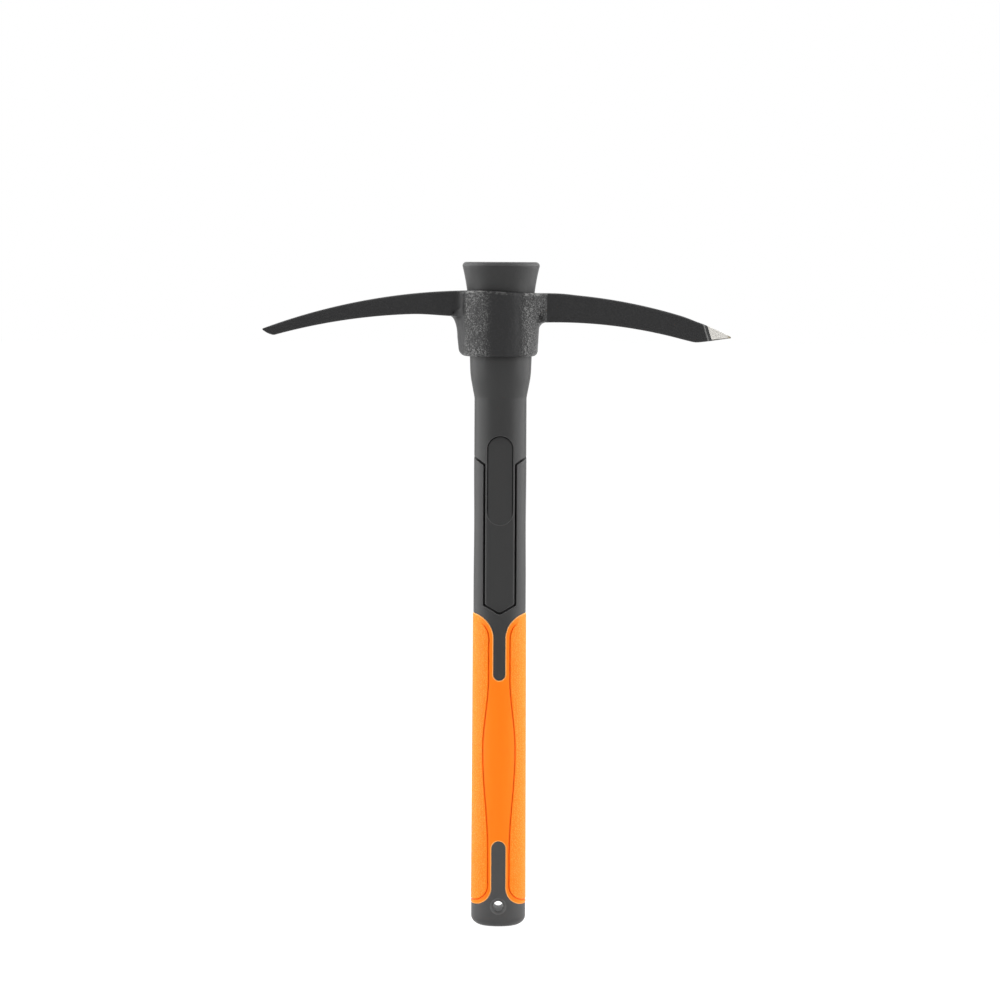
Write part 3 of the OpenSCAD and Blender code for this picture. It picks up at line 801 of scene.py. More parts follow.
def lower_outline(g, offset, radius):
    """Lower edge of the grip, shrunk by an offset, from the top of its slot to the side: round slot end,
    slot side and lobe."""
    slot = g.lower_slot_width / 2
    lobe_z = g.foot + g.lobe_radius
    end_z = lobe_z + g.lower_slot_length - slot
    centre = (slot + g.lobe_radius, lobe_z)
    round_r = g.lobe_radius - offset
    last = 360 - np.degrees(np.arccos((radius(g.foot) - centre[0]) / round_r))
    return [
        arc((0, end_z), slot + offset, 90, 0, ROUND),
        line((slot + offset, end_z), (slot + offset, lobe_z), ROUND),
        arc(centre, round_r, 180, last, 2 * ROUND),
    ]


def sunk_line(g, offset, heights, radius):
    """Sunk line of the grip, moved sideways by an offset, from its upper end on the shoulder, down with a
    bow shaped like a cosine wave, and round its lower turn to the side."""
    half = g.strip_width / 2
    shoulder = (g.upper_slot_width / 2 + g.shoulder_radius, g.foot + g.length - g.shoulder_radius)
    bow_z = g.foot + g.bow_share * g.length
    reach = g.length * np.where(heights > bow_z, g.bow_above, g.bow_below)
    away = np.minimum(abs(heights - bow_z) / reach, 1)
    bow = g.strip_bow * (1 + np.cos(np.pi * away)) / 2
    run = np.stack([half + bow + offset, heights], 1)
    turn = (half + g.strip_turn, heights[-1])
    turn_r = g.strip_turn - offset
    last = 360 - np.degrees(np.arccos((radius(heights[-1] - turn_r) - turn[0]) / turn_r))
    top = arc(shoulder, shoulder[0] - half - offset, np.degrees(g.line_end), 180, ROUND)
    return joined(top, run, arc(turn, turn_r, 180, last, 2 * ROUND))


def line_profile(g):
    """Section of a sunk line: sideways offsets, and depths on a half ellipse."""
    across = np.linspace(-1, 1, LINE + 1)
    return g.line_width / 2 * across, g.line_depth * np.sqrt(1 - across**2)


def grip_panels(g, offset):
    """The grip's surface in angle and height, a quarter of it: the middle strip, the sunk line and the side
    field, each ruled between outlines, with the outline shrunk by an offset."""
    radius = partial(grip_radius, g)
    slot_up, edge_up, shoulder_in, shoulder_out = upper_outline(g, offset, radius)
    slot_low, edge_low, lobe = lower_outline(g, offset, radius)
    between = line(slot_up[0], slot_low[0], RUN)
    down = joined(edge_up[::-1], slot_up[::-1], between, slot_low, edge_low)
    inner = joined(shoulder_in[::-1], down, lobe)
    run = down[:, 1]
    turn_z = g.foot + g.strip_margin + g.strip_turn
    start = edge_low[0, 1]
    lowered = (start - np.minimum(run, start)) / (start - run[-1])
    run = np.maximum(run, start) - lowered * (start - turn_z)
    sideways, _ = line_profile(g)
    lines = [unrolled(sunk_line(g, shift, run, radius), radius, True) for shift in sideways]
    groove = np.stack(lines)
    middle = ruled(unrolled(inner, radius, True), lines[0], np.linspace(0, 1, ACROSS + 1))
    head = joined(unrolled(shoulder_out, radius, True)[::-1], middle[:, 0], groove[:, 0])
    field_in = joined(head, lines[-1])
    outer_z = field_in[:, 1].copy()
    count = len(head) - 1 + ROUND
    outer_z[:count] = np.linspace(outer_z[0], outer_z[count], count + 1)[:-1]
    outer = np.stack([np.full(len(outer_z), np.pi / 2), outer_z], 1)
    field = ruled(field_in, outer, np.linspace(0, 1, 2 * ACROSS + 1))
    return middle, groove, field


def grip_rim(h, g, outline):
    """Rounded edge and wall of the grip, carried along one of its outlines."""
    radius = partial(grip_radius, g)
    lines = []
    for offset, depth in (*edge_steps(g.edge_radius), (0, g.wall)):
        places = unrolled(joined(*outline(g, offset, radius)), radius, True)
        lines.append(on_oval(places, radius, h.depth_share, depth))
    return rimmed(np.stack(lines))


def grip_grids(h, g):
    """Grids of a quarter of the grip: outer skin with the sunk line, inner skin, and rounded rims."""
    radius = partial(grip_radius, g)
    middle, groove, field = grip_panels(g, g.edge_radius)
    _, depths = line_profile(g)
    sunk = depths[:, None] * smooth(np.arange(groove.shape[1]) / RIM)
    line_grid = on_oval(groove, radius, h.depth_share, sunk)
    field_grid = on_oval(field, radius, h.depth_share)
    grids = [
        on_oval(middle, radius, h.depth_share),
        # The sunk line carries a field mark below zero, which the finish paints with shade
        marked(line_grid, field=-sunk / g.line_depth),
        marked(field_grid, field=np.arange(len(field))[:, None] > 0),
    ]
    grids += [on_oval(panel, radius, h.depth_share, g.wall) for panel in grip_panels(g, 0)]
    return grids + [grip_rim(h, g, outline) for outline in (upper_outline, lower_outline)]


def sleeve_grids(h, g):
    """Grids of a quarter of the sleeve: prong, ring above the grip, bed under the grip, butt with its hang
    hole, and the groove and joint at the top."""
    half = h.sleeve_width / 2
    taper = partial(sleeve_radius, h, g)
    bed = partial(grip_radius, g)
    edge = h.groove_width / 2 + h.edge_radius
    point, slope, turn, side, elbow, shoulder = (unrolled(r, taper) for r in tongue_runs(h, edge, half))
    top_edge = joined(elbow, shoulder)
    ring_turn = np.linspace(turn[-1, 0], np.pi / 2, len(top_edge))
    ring = np.stack([ring_turn, np.full(len(top_edge), turn[-1, 1])], 1)
    rise = (side[:, 1] - side[0, 1]) / (side[-1, 1] - side[0, 1])
    prong = ruled(ring, top_edge, rise)
    fade_out = 1 - np.linspace(0, 1, len(top_edge))
    prong[..., 0] += (side[:, 0] - prong[:, 0, 0])[:, None] * fade_out
    upper = joined(point, slope, turn, ring)
    out = -g.gap - h.edge_radius
    slot, straight, *shoulders = upper_outline(g, out, taper)
    bank = unrolled(joined(slot, straight), taper)
    inlet = ruled(bank * [0, 1], bank, np.linspace(0, 1, 2 * ROUND + 1))
    lower = joined(inlet[:, -1], unrolled(joined(straight[-1:], *shoulders), taper, True))
    # Across, the collar's lines run ahead, so that they come down upright on the grip's edge
    fall_away = np.linspace(0, 1, 2 * ACROSS + 1)
    collar = ruled(upper, lower, fall_away)
    collar[..., 0] = ruled(upper, lower, 1 - (1 - fall_away) ** 2)[..., 0]
    grids = [on_oval(p, taper, h.depth_share) for p in (prong, collar, inlet)]
    for outline in (upper_outline, lower_outline):
        grids.append(bed_rim(h, g, outline, taper, bed))
    for panel in grip_panels(g, -g.gap):
        grids.append(on_oval(panel, bed, h.depth_share, g.wall + g.gap))
    grids += butt_grids(h, g, taper, out)
    grids.append(groove_grid(h, half, taper, 1))
    return grids + rod_hole_grids(h, half, taper, h.rod_foot)


def bed_rim(h, g, outline, taper, bed):
    """Rounded edge and wall of the sleeve round the grip, down to the bed that the grip lies in."""
    lines = []
    for offset, depth in edge_steps(h.edge_radius):
        places = unrolled(joined(*outline(g, -g.gap - offset, taper)), taper, True)
        lines.append(on_oval(places, taper, h.depth_share, depth))
    places = unrolled(joined(*outline(g, -g.gap, bed)), bed, True)
    lines.append(on_oval(places, bed, h.depth_share, g.wall + g.gap))
    return rimmed(np.stack(lines))


def butt_grids(h, g, taper, out):
    """The butt: a panel ruled between the hang hole and the grip's lower edge, the hole with its sloping
    lip, and the rounded rim carried round the oval to a level foot."""
    hole = h.hang_hole / 2
    lip = hole + h.hang_lip
    window = lip + 2 * h.edge_radius
    centre = (0, h.hang_height)
    slot, straight, lobe = lower_outline(g, out, taper)
    side = unrolled(joined(slot, straight, lobe), taper, True)
    foot = np.array([np.pi / 2, h.butt_rim])
    outer = joined(side, line(side[-1], foot, RIM), line(foot, (0, h.butt_rim), 2 * ROUND))
    down = line(slot[0], (0, h.hang_height + window), 2 * ROUND)
    steps = (2 * ROUND, RIM, 2 * ROUND)
    spans = zip(HOLE_TURNS, HOLE_TURNS[1:], steps)
    spokes = joined(*(arc((0, 0), 1, first, last, count) for first, last, count in spans))
    inner = unrolled(joined(down, centre + window * spokes), taper)
    grids = [on_oval(ruled(inner, outer, np.linspace(0, 1, ACROSS + 1)), taper, h.depth_share)]
    rings = []
    for offset, depth in edge_steps(h.edge_radius, LIP_TURN):
        places = unrolled(centre + (lip + 2 * offset) * spokes, taper)
        rings.append(on_oval(places, taper, h.depth_share, depth))
    surface = h.depth_share * taper(h.hang_height)
    around = centre + hole * spokes
    for depth in (surface - h.hang_lip, surface / 2, 0):
        rings.append(np.stack([around[:, 0], np.full(len(around), -depth), around[:, 1]], 1))
    grids.append(rimmed(np.stack(rings)))
    quarter = arc((0, 0), 1, 0, -90, ROUND) * (h.butt_rim_width, h.butt_rim)
    rim = quarter + (taper(h.butt_rim) - h.butt_rim_width, h.butt_rim)
    profile = joined(rim, line(rim[-1], (0, 0), RIM))
    turns = np.linspace(np.pi / 2, 0, 2 * ROUND + 1)
    return grids + [carried_round(profile, turns, h.depth_share)]


def fall(x, radius):
    """How far a circle that is level at 0 has dropped at x."""
    return radius - np.sqrt(radius**2 - x**2)


def back_height(d, x):
    """Upper outline of the head: one circle for each arm, a gentle step across the eye and a straight
    ground point."""
    chisel = d.chisel_back_z - fall(np.minimum(x - d.chisel_back_x, 0), d.chisel_back)
    point = d.point_back_z - fall(np.maximum(x - d.point_back_x, 0), d.point_back)
    start = d.point_reach - d.point_length
    start_z = d.point_back_z - fall(start - d.point_back_x, d.point_back)
    tip_z = d.point_tip_z + d.point_tip / 2
    ground = start_z + (tip_z - start_z) * (x - start) / d.point_length
    point = np.where(x > start, ground, point)
    across = smooth((x - d.chisel_back_x) / (d.point_back_x - d.chisel_back_x))
    return (1 - across) * chisel + across * point


def under_height(d, x):
    """Lower outline of the arms: one circle for each, cut by the chisel's bevel, which bulges as a
    parabola, and by the straight underside of the point. The chisel's hangs a little lower beside the
    eye."""
    chisel = d.chisel_under_z - fall(x - d.chisel_under_x, d.chisel_under)
    edge_z = back_height(d, -d.chisel_reach) - d.chisel_edge
    heel = d.chisel_reach - d.chisel_bevel
    heel_z = d.chisel_under_z - fall(-heel - d.chisel_under_x, d.chisel_under)
    t = (x + d.chisel_reach) / d.chisel_bevel
    bulge = 4 * d.bevel_bulge * np.maximum(t * (1 - t), 0)
    bevel = edge_z + (heel_z - edge_z) * t - bulge
    chisel = higher(chisel, bevel, d.arm_edge / 4)
    chisel = chisel - d.chisel_sag * smooth((x + d.sag_start) / d.sag_reach)
    point = d.point_under_z - fall(np.maximum(x, 0) - d.point_under_x, d.point_under)
    tip_z = d.point_tip_z - d.point_tip / 2
    flat = tip_z + (d.point_belly_z - tip_z) * (d.point_reach - x) / d.point_length
    point = higher(point, flat, d.arm_edge / 2)
    across = smooth((x + d.eye_width / 2) / d.eye_width)
    return (1 - across) * chisel + across * point


def oval_points(middle, wide, deep, turn):
    """Points of an oval in plan, and its outward normals; the angle is measured from across the arms."""
    points = np.stack([middle + wide * np.sin(turn), deep * np.cos(turn)], 1)
    normals = np.stack([deep * np.sin(turn), wide * np.cos(turn)], 1)
    return points, normals / np.linalg.norm(normals, axis=1, keepdims=True)


def arm_half(d, side, x):
    """Half thickness of an arm in plan: straight from the eye to the chisel edge, or to the grinding and
    the tip."""
    start = d.eye_width / 2
    if side < 0:
        return np.interp(x, [start, d.chisel_reach], [d.arm_width / 2, d.chisel_width / 2])
    ground = d.point_reach - d.point_length
    return np.interp(x, [start, ground, d.point_reach], [d.arm_width / 2, d.point_width / 2, d.point_tip / 2])


def plan_columns(d, side):
    """Plan of half the head's front, column by column from the handle's axis to the end of an arm: outer
    outline with its normals, the eye's lower wall with its normals, the inner edge of the top and the lower
    rim of the bore."""
    wide, deep = d.eye_width / 2, d.eye_depth / 2
    middle = -side * d.eye_set
    reach = d.chisel_reach if side < 0 else d.point_reach
    crotch = d.chisel_crotch if side < 0 else d.point_crotch
    fillet = d.chisel_cheek if side < 0 else d.point_cheek
    slope = (arm_half(d, side, 3 * wide) - arm_half(d, side, 2 * wide)) / wide
    tilt = np.hypot(1, slope)
    # The cheek's fillet touches the eye where its centre lies one radius from the arm's side as well
    tries = np.linspace(0, np.pi / 2, TRIES + 1)
    wall, normal = oval_points(middle, wide, deep, tries)
    centres = wall + fillet * normal
    level = d.arm_width / 2 + slope * (centres[:, 0] - wide)
    touch = np.interp(0, (level + fillet * tilt - centres[:, 1]), tries)
    first = np.arcsin(-middle / wide)
    eye, eye_normal = oval_points(middle, wide, deep, np.linspace(first, touch, EYE + 1))
    centre = eye[-1] + fillet * eye_normal[-1]
    start = np.degrees(np.arctan2(-eye_normal[-1, 1], -eye_normal[-1, 0]))
    end = np.degrees(np.arctan2(-1, slope))
    cheek = arc(centre, fillet, start, end, CHEEK // 2)
    root = middle + wide + crotch
    near = np.linspace(cheek[-1, 0], root, CHEEK - CHEEK // 2 + 1)
    end_x = reach - (d.chisel_bevel + d.arm_edge if side < 0 else d.point_length)
    far = joined(np.linspace(root, end_x, ARM + 1), np.linspace(end_x, reach, END + 1))
    beyond = np.concatenate([near[1:], far[1:]])
    arm = np.stack([beyond, arm_half(d, side, beyond)], 1)
    outline = np.concatenate([eye, cheek[1:], arm])
    normals = np.concatenate([eye_normal, (centre - cheek[1:]) / fillet, 0 * arm + [0, 1]])
    lower_turn = np.concatenate(
        [np.linspace(first, touch, EYE + 1), np.linspace(touch, np.pi / 2, CHEEK + 1)[1:]]
    )
    lower, lower_normal = oval_points(middle, wide, deep, lower_turn)
    around = np.linspace(0, np.pi / 2, EYE + CHEEK + 1)
    bore, _ = oval_points(0, d.bore_foot / 2, d.bore_share * d.bore_foot / 2, around)
    rim, _ = oval_points(0, d.bore_top / 2, d.bore_share * d.bore_top / 2, around)
    # On the arm the inner edge is the middle line, which starts at the bore and catches up with the outline
    lag = (root - rim[-1, 0]) * (1 - smooth(np.arange(1, len(far)) / (ARM / 2)))
    inner = np.concatenate([rim, np.stack([far[1:] - lag, 0 * lag], 1)])
    return outline, normals, lower, lower_normal, inner, bore


def on_point(d, x):
    """Whether places along the head lie on the ground point, just past the line where it starts."""
    return x > d.point_reach - d.point_length + d.point_edge / 10


def arm_grid(d, side, outline, normals, inner, junction, under_arm):
    """Grid of one arm and the eye's wall beside it. Down each column the skin runs from the middle of the
    top over a rounded edge, down the side, round a lower edge and in under the arm. Beside the eye the same
    rows run straight down its wall, and under_arm says how far each column belongs to the arm."""
    x = side * outline[:, 0]
    low_z = under_height(d, x)
    edge = np.minimum(d.arm_edge, EDGE_SHARE * np.minimum(back_height(d, x) - low_z, outline[:, 1]))
    low_edge = np.where(on_point(d, x), np.minimum(edge, d.point_border), edge)
    edge = np.where(on_point(d, x), np.minimum(edge, d.point_edge), edge)
    bends = np.radians(np.linspace(0, 90, RIM + 1))[1:]
    rows = []
    for t in np.linspace(0, 1, ROUND):
        plan = (1 - t) * inner + t * (outline - edge[:, None] * normals)
        rows.append(np.column_stack([plan, back_height(d, side * plan[:, 0])]))
    for bend in bends:
        plan = outline - (edge * (1 - np.sin(bend)))[:, None] * normals
        rows.append(np.column_stack([plan, rows[ROUND - 1][:, 2] - edge * (1 - np.cos(bend))]))
    side_top = rows[-1][:, 2]
    arm_rows = []
    for t in np.linspace(0, 1, ROUND)[1:]:
        arm_rows.append(np.column_stack([outline, (1 - t) * side_top + t * (low_z + low_edge)]))
    for bend in bends:
        plan = outline - (low_edge * (1 - np.cos(bend)))[:, None] * normals
        arm_rows.append(np.column_stack([plan, low_z + low_edge * (1 - np.sin(bend))]))
    start = arm_rows[-1][:, :2]
    for t in np.linspace(0, 1, ROUND)[1:]:
        plan = (1 - t) * start + t * junction
        arm_rows.append(np.column_stack([plan, under_height(d, side * plan[:, 0])]))
    weight = under_arm[:, None]
    for i, arm_row in enumerate(arm_rows):
        t = (i + 1) / len(arm_rows)
        wall_row = np.column_stack([outline, (1 - t) * side_top + t * low_z])
        rows.append((1 - weight) * wall_row + weight * arm_row)
    return np.stack(rows)


def eye_grid(d, side, joint, lower, lower_normal, bore, drop):
    """Lower part of the eye: a fillet of the given drop from the arm into the wall, the wall with its
    draft, the rounded rim, which grows from the front to the side, and the level foot in to the bore."""
    columns = np.arange(len(joint))
    side_rim = d.chisel_rim if side < 0 else d.point_rim
    foot_rim = d.front_rim + (side_rim - d.front_rim) * smooth(columns / columns[-1])
    bends = np.radians(np.linspace(0, 90, ROUND))[1:]
    rows = [joint]
    for bend in bends:
        plan = lower + (joint[:, :2] - lower) * (1 - np.sin(bend))
        rows.append(np.column_stack([plan, joint[:, 2] - drop * (1 - np.cos(bend))]))
    wall_top = rows[-1][:, 2]
    for t in np.linspace(0, 1, ROUND)[1:]:
        plan = lower - d.eye_draft * t * lower_normal
        rows.append(np.column_stack([plan, (1 - t) * wall_top + t * (d.eye_foot + foot_rim)]))
    foot = rows[-1][:, :2]
    for bend in bends:
        plan = foot - (foot_rim * (1 - np.cos(bend)))[:, None] * lower_normal
        rows.append(np.column_stack([plan, d.eye_foot + foot_rim * (1 - np.sin(bend))]))
    last = rows[-1]
    for t in np.linspace(0, 1, RIM)[1:]:
        rows.append((1 - t) * last + t * np.column_stack([bore, last[:, 2]]))
    return np.stack(rows)


def head_grids(d, side):
    """Grids of the front half of one side of the head: the arm with the upper part of the eye, the lower
    part of the eye, and the bore. The arm is closed at its end, and the point arm's columns lean and its
    cheek spreads."""
    outline, normals, lower, lower_normal, inner, bore = plan_columns(d, side)
    root = EYE + CHEEK
    x = side * outline[:, 0]
    top_z, low_z = back_height(d, x), under_height(d, x)
    under_arm = smooth((np.arange(len(outline)) - EYE) / CHEEK)
    chisel_share = (1 - side * smooth(np.arange(root + 1) / EYE)) / 2
    crotch = chisel_share * d.chisel_crotch + (1 - chisel_share) * d.point_crotch
    drop = chisel_share * d.chisel_drop + (1 - chisel_share) * d.point_drop
    junction = np.stack([outline[:, 0], 0 * x], 1)
    junction[: root + 1] = lower + (crotch * under_arm[: root + 1])[:, None] * lower_normal
    arm = arm_grid(d, side, outline, normals, inner, junction, under_arm)
    eye = eye_grid(d, side, arm[-1, : root + 1], lower, lower_normal, bore, drop)
    hole = ruled(arm[0, : root + 1], eye[-1], np.linspace(0, 1, ROUND))
    tip = np.array([outline[-1, 0], 0, (top_z[-1] + low_z[-1]) / 2])
    arm = np.concatenate([arm, np.repeat(tip[None, None], len(arm), 0)], 1)
    if side > 0:
        arm = slanted(d, arm, np.append((top_z + low_z) / 2, tip[2]))
        arm = spread_cheek(d, arm, np.append(low_z, tip[2]), np.append(top_z - low_z, d.point_tip))
    arm, eye, hole = (grid * [side, -1, 1] for grid in (arm, eye, hole))
    row = np.arange(len(arm))[:, None]
    column = np.arange(arm.shape[1])
    on_rim = (row >= ROUND - 1) & (row < ROUND + RIM) & (column <= EYE + CHEEK // 2)
    lower_edge = (row >= 2 * ROUND + RIM - 1) & (row < 2 * (ROUND + RIM) - 1)
    # The lower ground edge of the point carries the field mark, which the finish paints with shade
    border = lower_edge & np.append(on_point(d, x), side > 0)
    return [marked(arm, rim=on_rim, field=border), eye, hole]


def spread_cheek(d, arm, low_z, tall):
    """Moves the cheek of the eye out along the point arm, most at its top and not at all at the arm's
    underside; the edge of the bore stays, and the move fades along the arm."""
    half = d.eye_width / 2
    x = arm[..., 0]
    lift = smooth((arm[..., 2] - low_z) / (CHEEK_SHARE * tall))
    along = smooth(2 * x / half - 1) * (1 - smooth(x / half - 1))
    from_bore = np.minimum(np.arange(len(arm)) / (ROUND - 1), 1)[:, None]
    arm[..., 0] = x + d.cheek_flare * lift * along * from_bore
    return arm


def slanted(d, arm, middle_z):
    """Leans the columns of the point arm round the start of the grinding, fading away on both sides."""
    start = d.point_reach - d.point_length
    x = arm[..., 0]
    fade = smooth((x - start) / d.point_length + 1) * smooth((d.point_reach - x) / d.point_length)
    arm[..., 0] = x - d.point_slant * (arm[..., 2] - middle_z) * fade
    return arm


class Finish:
    """Builds one procedural material, node by node, on the piece's own coordinates in metres."""

    def __init__(self, name):
        self.material = bpy.data.materials.new(name)
        self.material.use_nodes = True
        self.tree = self.material.node_tree
        self.shader = next(n for n in self.tree.nodes if n.type == "BSDF_PRINCIPLED")
        self.place = self.add("ShaderNodeTexCoord").outputs["Object"]

    def add(self, kind, inputs=None, **settings):
        """A new node with its settings and inputs."""
        node = self.tree.nodes.new(kind)
        for key, value in settings.items():
            setattr(node, key, value)
        self.feed(node, inputs or {})
        return node

    def feed(self, node, inputs):
        """Links sockets to a node's inputs, and writes plain values on them."""
        for key, value in inputs.items():
            if isinstance(value, bpy.types.NodeSocket):
                self.tree.links.new(value, node.inputs[key])
            else:
                node.inputs[key].default_value = value

    def shade(self, **inputs):
        """Feeds the surface shader; an underscore stands for a blank in the name of an input."""
        self.feed(self.shader, {k.replace("_", " "): v for k, v in inputs.items()})

    def noise(self, grain, detail=2.0, stretch=(1, 1, 1)):
        """Noise, mostly between 0.3 and 0.7, whose grains are about the given size, stretched along the
        axes."""
        scale = [1 / (grain * ratio) for ratio in stretch]
        place = self.add("ShaderNodeVectorMath", {0: self.place, 1: scale}, operation="MULTIPLY").outputs[0]
        inputs = {"Vector": place, "Scale": 1.0, "Detail": detail}
        return self.add("ShaderNodeTexNoise", inputs).outputs["Fac"]

    def spread(self, value, low, high, start=0.0, end=1.0):
        """Leads smoothly from a start to an end while the value goes from low to high."""
        inputs = {"Value": value, "From Min": low, "From Max": high, "To Min": start, "To Max": end}
        return self.add("ShaderNodeMapRange", inputs, interpolation_type="SMOOTHSTEP").outputs[0]

    def math(self, operation, first, second=0.0):
        """One step of arithmetic."""
        return self.add("ShaderNodeMath", {0: first, 1: second}, operation=operation).outputs[0]

    def plus(self, first, second):
        return self.math("ADD", first, second)

    def minus(self, first, second):
        return self.math("SUBTRACT", first, second)

    def times(self, first, second):
        return self.math("MULTIPLY", first, second)

    def mix(self, share, first, second):
        """The first colour where the share is 0, and the second where it is 1."""
        socket = bpy.types.NodeSocket
        first, second = (tone if isinstance(tone, socket) else (*tone, 1) for tone in (first, second))
        return self.add("ShaderNodeMix", {0: share, 6: first, 7: second}, data_type="RGBA").outputs[2]

    def bump(self, height, depth, under=None):
        """Normals of a relief of the given depth, laid over another one if there is one."""
        inputs = {"Height": height, "Distance": depth, "Strength": 1.0}
        if under:
            inputs["Normal"] = under
        return self.add("ShaderNodeBump", inputs).outputs[0]

    def axes(self):
        """The three coordinates of a place."""
        return self.add("ShaderNodeSeparateXYZ", {0: self.place}).outputs

    def mark(self, name):
        """A mark that the mesh carries at its points."""
        return self.add("ShaderNodeAttribute", attribute_name=name).outputs["Fac"]


def head_finish(d, w, c):
    """Black lacquer over forged skin, rough on the eye, thin on the high grains with a painted sheen on the
    eye's flanks, with worn spots on the eye's rim and a painted highlight on the line where the grinding
    starts, and ground steel past a slanted line, with painted shade along its lower border."""
    f = Finish("lacquer_and_steel")
    x, _, z = f.axes()
    # Distance along the point from the slanted, ragged line where the grinding starts
    grind = d.point_reach - d.point_length
    middle = (float(back_height(d, grind)) + d.point_belly_z) / 2
    lean = f.times(f.minus(z, middle), d.point_slant)
    ragged = f.times(f.noise(w.ragged_grain, 3.0), w.ragged_reach)
    along = f.minus(f.plus(f.plus(x, lean), ragged), grind + w.ragged_reach / 2)
    bare = f.spread(along, d.paint_end - w.paint_blend, d.paint_end + w.paint_blend)
    # Painted highlight along the line where the grinding starts
    grind_glint = f.spread(f.math("ABSOLUTE", along), w.grind_glint_width, 2 * w.grind_glint_width, 1.0, 0.0)
    # The flanks of the eye, where the forging is rough
    far = f.math("ABSOLUTE", f.minus(x, w.smooth_middle))
    on_eye = f.spread(far, w.eye_reach, w.arm_reach, 1.0, 0.0)
    flank = f.times(f.spread(far, w.smooth_reach, w.rough_reach), on_eye)
    grain = f.noise(w.forged_grain, 4.0)
    pits = f.noise(w.forged_pits, 3.0)
    waves = f.noise(w.forged_waves, 3.0)
    # Thin lacquer on the high grains, in patches, together with a painted sheen of the side light on the
    # eye's flanks, and hardly any of it off the flanks
    patches = f.spread(waves, 0.35, 0.65, 0.55, 1.0)
    speckle = f.times(f.spread(grain, 0.42, 0.68), patches)
    worn_and_sheen = f.times(f.spread(speckle, 0, 1, 0.1, 0.9), f.spread(flank, 0, 1, 0.04, 0.9))
    lacquer = f.mix(worn_and_sheen, c.lacquer, c.lacquer_worn_and_sheen)
    # Worn spots along the upper rim of the eye, and a painted highlight on the line where the grinding starts
    knocked = f.times(f.spread(pits, 0.48, 0.6), f.spread(flank, 0, 1, 0.25, 0.9))
    scuffed_and_glint = f.math("MAXIMUM", f.times(f.mark("rim"), knocked), f.times(grind_glint, 0.7))
    lacquer = f.mix(scuffed_and_glint, lacquer, c.chips_and_glint)
    streaks = f.noise(w.streak_width, stretch=(w.streak_stretch, 1, 1))
    steel = f.mix(f.spread(streaks, 0.3, 0.7), [w.streak_tone * v for v in c.steel], c.steel)
    # Painted shade along the lower border of the ground steel
    steel = f.mix(f.mark("field"), steel, c.steel_border_shade)
    tinted = f.spread(x, d.point_reach - w.tint_start, d.point_reach - w.tint_full)
    steel = f.mix(tinted, steel, c.steel_tip)
    # Relief of the forged skin, strongest on the flanks and absent on the steel
    skin_height = f.times(f.plus(grain, f.times(pits, 1.5)), f.spread(flank, 0, 1, 0.15, 1.8))
    height = f.plus(skin_height, f.times(waves, 0.7))
    height = f.times(height, f.minus(1.0, bare))
    scored = f.bump(f.times(streaks, bare), w.streak_relief)
    rough = f.spread(flank, 0, 1, w.lacquer_rough, w.forged_rough)
    f.shade(
        Base_Color=f.mix(bare, lacquer, steel),
        Specular_IOR_Level=w.lacquer_gloss,
        Metallic=f.times(bare, w.steel_metal),
        Roughness=f.plus(rough, f.spread(bare, 0, 1, 0.0, w.steel_rough)),
        Normal=f.bump(height, w.forged_relief, scored),
    )
    return f.material


def plastic_finish(name, w, c, seat, tint, foot_tint, rough):
    """Moulded plastic with a fine spark-eroded skin, slightly uneven tone, paler towards the butt, a painted
    highlight on rounded edges, and painted shade inside its grooves and on its seat under and inside the
    eye's mouth."""
    f = Finish(name)
    tone = f.noise(w.plastic_tone, 3.0)
    fine = f.noise(w.plastic_grain)
    _, _, z = f.axes()
    # Paler towards the butt
    low = f.plus(f.spread(z, w.pale_foot, w.pale_top, 1.0, 0.0), f.spread(tone, 0.3, 0.7, -0.05, 0.05))
    face = f.mix(low, tint, foot_tint)
    # Painted highlight on the rounded edges
    edged = f.mix(f.mark("rim"), face, c.moulded_rim_highlight)
    # Painted shadow under the eye's mouth, going on up inside the eye
    seat_shade_foot = f.spread(z, seat - w.seat_shade_below, seat, 0.0, w.seat_shade_share)
    seat_shade = f.times(seat_shade_foot, f.spread(z, seat + w.seat_shade_above, seat + w.seat_shade_end, 1.0, 0.0))
    f.shade(
        # Painted shade in the grooves and fine lines, and under the eye's mouth
        Base_Color=f.mix(f.math("MAXIMUM", f.mark("field"), seat_shade), edged, c.groove),
        Specular_IOR_Level=w.plastic_gloss,
        Roughness=f.spread(fine, 0.3, 0.7, rough - w.rough_swing, rough + w.rough_swing),
        Normal=f.bump(fine, w.plastic_relief),
    )
    return f.material


def grip_finish(w, c):
    """Soft rubber: a smooth middle strip, and side fields with a fine raised stipple, with a painted
    highlight on the rounded edges and painted shade in the sunk lines.
    """
    f = Finish("soft_rubber")
    spacing = {"Vector": f.place, "Scale": 1 / w.stipple, "Randomness": w.stipple_jitter}
    cells = f.add("ShaderNodeTexVoronoi", spacing).outputs["Distance"]
    stippled = f.spread(f.mark("field"), 0, 1)
    # Painted shade inside the sunk lines
    line_shade_mask = f.spread(f.mark("field"), -1, 0, 1.0, 0.0)
    dots = f.times(f.spread(cells, 0.15, 0.55, 1.0, 0.0), stippled)
    face = f.mix(dots, c.grip, c.grip_pale)
    # Painted highlight on the grip's rounded edges
    face = f.mix(f.mark("rim"), face, c.grip_rim)
    fine = f.noise(w.rubber_grain)
    f.shade(
        Base_Color=f.mix(line_shade_mask, face, c.grip_line_shade),
        Specular_IOR_Level=w.rubber_gloss,
        Roughness=f.spread(fine, 0.3, 0.7, w.rubber_rough - w.rough_swing, w.rubber_rough + w.rough_swing),
        Normal=f.bump(dots, w.stipple_relief, f.bump(fine, w.rubber_relief)),
    )
    return f.material


